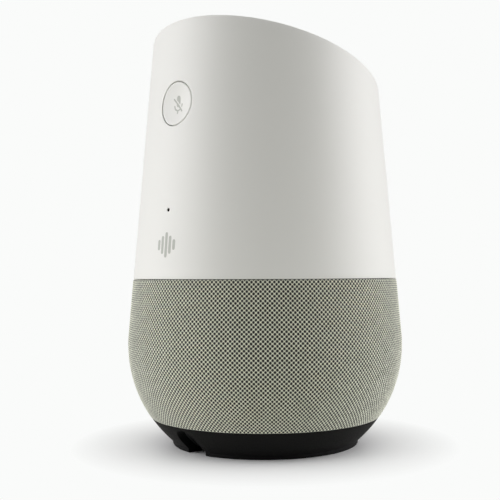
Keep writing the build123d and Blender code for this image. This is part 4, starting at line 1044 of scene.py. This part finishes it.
class SPEAKER_OT_rolls(bpy.types.Operator):
    """Rubber rolls round each speaker's moving part, and the driver's corrugated spider"""
    bl_idname = "speaker.rolls"
    bl_label = "Rolls and spider"

    def execute(self, context):
        low = -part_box("driver_surround")[0].y
        seat = low - SPEAKERS["driver"][1] / 2
        for name, (turn, width, moving) in SPEAKERS.items():
            inner = ROLL_OUT_R - width
            rings = roll_rings(inner, ROLL_OUT_R)
            roll = make_piece(f"{name}_roll", on_face(rings, turn, seat), [solid_rings(rings)],
                              node_material("surround_rubber"), replaces=[f"{name}_surround"], sharp=50)
            flex(roll)
        near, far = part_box("driver_spider")
        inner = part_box("voice_coil")[1].x
        rings = spider_rings(inner, far.x, far.y - near.y)
        spider = make_piece("driver_cloth_spider", on_face(rings, 0, -far.y), [solid_rings(rings)],
                            node_material("spider_cloth"), replaces=["driver_spider"])
        flex(spider)
        return {"FINISHED"}


# --- Finishes of the frame's own pieces

def node_material(slot):
    """Material of a finish slot, made once."""
    known = bpy.context.scene.get("speaker_finishes", {})
    if slot in known:
        return bpy.data.materials[known[slot]]
    material = FINISHES[slot]()
    known = dict(known)
    known[slot] = material.name
    bpy.context.scene["speaker_finishes"] = known
    return material


class SPEAKER_OT_finishes(bpy.types.Operator):
    """Material for each piece that the frame already holds"""
    bl_idname = "speaker.finishes"
    bl_label = "Finishes"

    def execute(self, context):
        made = {"shell_plastic": "moulded_pc_satin", "button_plastic": "moulded_pc_satin",
                "sleeve_fabric": "woven_polyester", "foot_rubber": "moulded_silicone_rubber"}
        for name, node in frame["nodes"].items():
            slot = SLOTS[name]
            material = bpy.data.materials[made[slot]] if slot in made else node_material(slot)
            for place in node.material_slots:
                place.material = material
            if not node.material_slots:
                node.data.materials.append(material)
        return {"FINISHED"}


# --- Stage

# The floor: radii between which it fades into the backdrop, and between which its bounce falls off; the
# radii of its rings. The sky: shares of the direction between which each side's light changes.
FADE, BOUNCE = (0.030, 0.068), (0.1, 0.3)
FLOOR_RINGS = (0.02, 0.05, 0.1, 0.2, 0.4, 1.0, 3.0, 12.0)
SIDE_TO_FRONT, SIDE_TO_BACK, SKY_FALL = (0.38, 0.56), (0.0, -0.8), (0.15, 1.0)
SENSOR_WIDTH = 36
CLIP_START = 0.01


def stage_floor(sizes):
    """Pale floor: satin near the speaker, and fading into the backdrop's own brightness further out."""
    material, tree, shader = new_material("satin_floor", Roughness=0.38, **{
        "Base Color": rgba(sizes.floor), "Specular IOR Level": 0.25})
    place = add(tree, "TexCoord").outputs["Object"]
    reach = add(tree, "VectorMath", {0: place}, operation="LENGTH").outputs["Value"]
    fade = add(tree, "MapRange", dict(zip(RANGE, (reach, *FADE))))
    seen = add(tree, "LightPath").outputs["Is Camera Ray"]
    bounce = add(tree, "MapRange", dict(zip(RANGE, (reach, *BOUNCE, sizes.near, sizes.far))), **SMOOTH)
    lamp = add(tree, "Emission", {"Color": rgba(linear("FFFEF6")), "Strength": bounce.outputs["Result"]})
    plain = add(tree, "Emission", {"Color": rgba(sizes.backdrop)})
    glow = add(tree, "MixShader", {0: seen, 1: lamp.outputs["Emission"], 2: plain.outputs["Emission"]})
    mixed = add(tree, "MixShader", {0: fade.outputs["Result"], 1: shader.outputs["BSDF"],
                                    2: glow.outputs["Shader"]})
    tree.links.new(mixed.outputs["Shader"], tree.nodes["Material Output"].inputs["Surface"])
    return material


def stage_light(sizes, away):
    """Soft studio light as a smooth sky: its brightness depends on the direction's share towards the camera's
    side, from front over side to back. What the camera sees of it is the plain backdrop."""
    world = bpy.data.worlds.new("studio")
    bpy.context.scene.world = world
    world.use_nodes = True
    tree = world.node_tree
    tree.nodes.clear()
    ray = add(tree, "TexCoord").outputs["Generated"]
    dark = Quaternion((0, 0, 1), sizes.aim) @ away
    facing = add(tree, "VectorMath", {0: ray, 1: dark}, operation="DOT_PRODUCT").outputs["Value"]
    high = add(tree, "SeparateXYZ", {"Vector": ray}).outputs["Z"]
    ahead, behind, over = (
        add(tree, "MapRange", dict(zip(RANGE, span)), **SMOOTH).outputs["Result"]
        for span in ((facing, *SIDE_TO_FRONT, sizes.side, sizes.front),
                     (facing, *SIDE_TO_BACK, 0.0, sizes.back - sizes.side),
                     (high, *SKY_FALL, 1.0, sizes.zenith)))
    level = add(tree, "Math", {0: ahead, 1: behind}, operation="ADD").outputs[0]
    level = add(tree, "Math", {0: level, 1: over}, operation="MULTIPLY").outputs[0]
    light = add(tree, "Background", {"Color": rgba(sizes.sky), "Strength": level})
    plain = add(tree, "Background", {"Color": rgba(sizes.backdrop), "Strength": 1.0})
    seen = add(tree, "LightPath").outputs["Is Camera Ray"]
    mixed = add(tree, "MixShader", {0: seen, 1: light.outputs["Background"], 2: plain.outputs["Background"]})
    add(tree, "OutputWorld", {"Surface": mixed.outputs["Shader"]})


class SPEAKER_OT_stage(bpy.types.Operator):
    """Pale floor, soft studio light and the camera"""
    bl_idname = "speaker.stage"
    bl_label = "Stage"

    def execute(self, context):
        sizes = context.scene.speaker_stage
        away = Vector((math.cos(sizes.azimuth), math.sin(sizes.azimuth), 0))
        rings = lathe(FLOOR_RINGS, np.zeros(len(FLOOR_RINGS)), ROUND)
        points = np.concatenate([rings.reshape(-1, 3), [[0, 0, 0]]])
        index = grid_index(len(FLOOR_RINGS), ROUND)
        faces = [quads(closed(index, 1))[:, ::-1], fan(index.size, index[0])]
        floor = make_piece("floor", points, faces, stage_floor(sizes))
        stage_light(sizes, away)
        camera = bpy.data.objects.new("camera", bpy.data.cameras.new("camera"))
        context.scene.collection.objects.link(camera)
        camera.location = away * sizes.distance + Vector((0, 0, sizes.height))
        look = -away * math.cos(sizes.pitch) + Vector((0, 0, math.sin(sizes.pitch)))
        camera.rotation_mode = "QUATERNION"
        camera.rotation_quaternion = Quaternion(look, sizes.roll) @ look.to_track_quat("-Z", "Y")
        camera.data.lens = sizes.lens
        camera.data.sensor_width = SENSOR_WIDTH
        camera.data.shift_x = sizes.shift
        camera.data.clip_start = CLIP_START
        context.scene.camera = camera
        context.scene.view_settings.view_transform = "Standard"
        return {"FINISHED"}


# --- Panel and registration

STEPS = [
    SPEAKER_OT_stage, SPEAKER_OT_shell, SPEAKER_OT_button, SPEAKER_OT_signs, SPEAKER_OT_sleeve,
    SPEAKER_OT_foot, SPEAKER_OT_rolls, SPEAKER_OT_finishes,
]
GROUPS = {
    "speaker_shell": ShellSizes, "speaker_button": ButtonSizes, "speaker_sleeve": SleeveSizes,
    "speaker_foot": FootSizes, "speaker_stage": StageSizes,
}


class SPEAKER_PT_build(bpy.types.Panel):
    """Steps that build the speaker, and their sizes"""
    bl_idname = "SPEAKER_PT_build"
    bl_label = "Smart Speaker"
    bl_space_type = "VIEW_3D"
    bl_region_type = "UI"
    bl_category = "Speaker"

    def draw(self, context):
        for step in STEPS:
            self.layout.operator(step.bl_idname)
        for name, group in GROUPS.items():
            box = self.layout.box()
            for prop in group.__annotations__:
                box.prop(getattr(context.scene, name), prop)


def register():
    for group in GROUPS.values():
        bpy.utils.register_class(group)
    for name, group in GROUPS.items():
        setattr(bpy.types.Scene, name, PointerProperty(type=group))
    for step in [*STEPS, SPEAKER_PT_build]:
        bpy.utils.register_class(step)


def unregister():
    for step in [*STEPS, SPEAKER_PT_build]:
        bpy.utils.unregister_class(step)
    for name, group in GROUPS.items():
        delattr(bpy.types.Scene, name)
        bpy.utils.unregister_class(group)


def main():
    register()
    for step in STEPS:
        area, name = step.bl_idname.split(".")
        getattr(getattr(bpy.ops, area), name)()


if __name__ == "__main__":
    main()
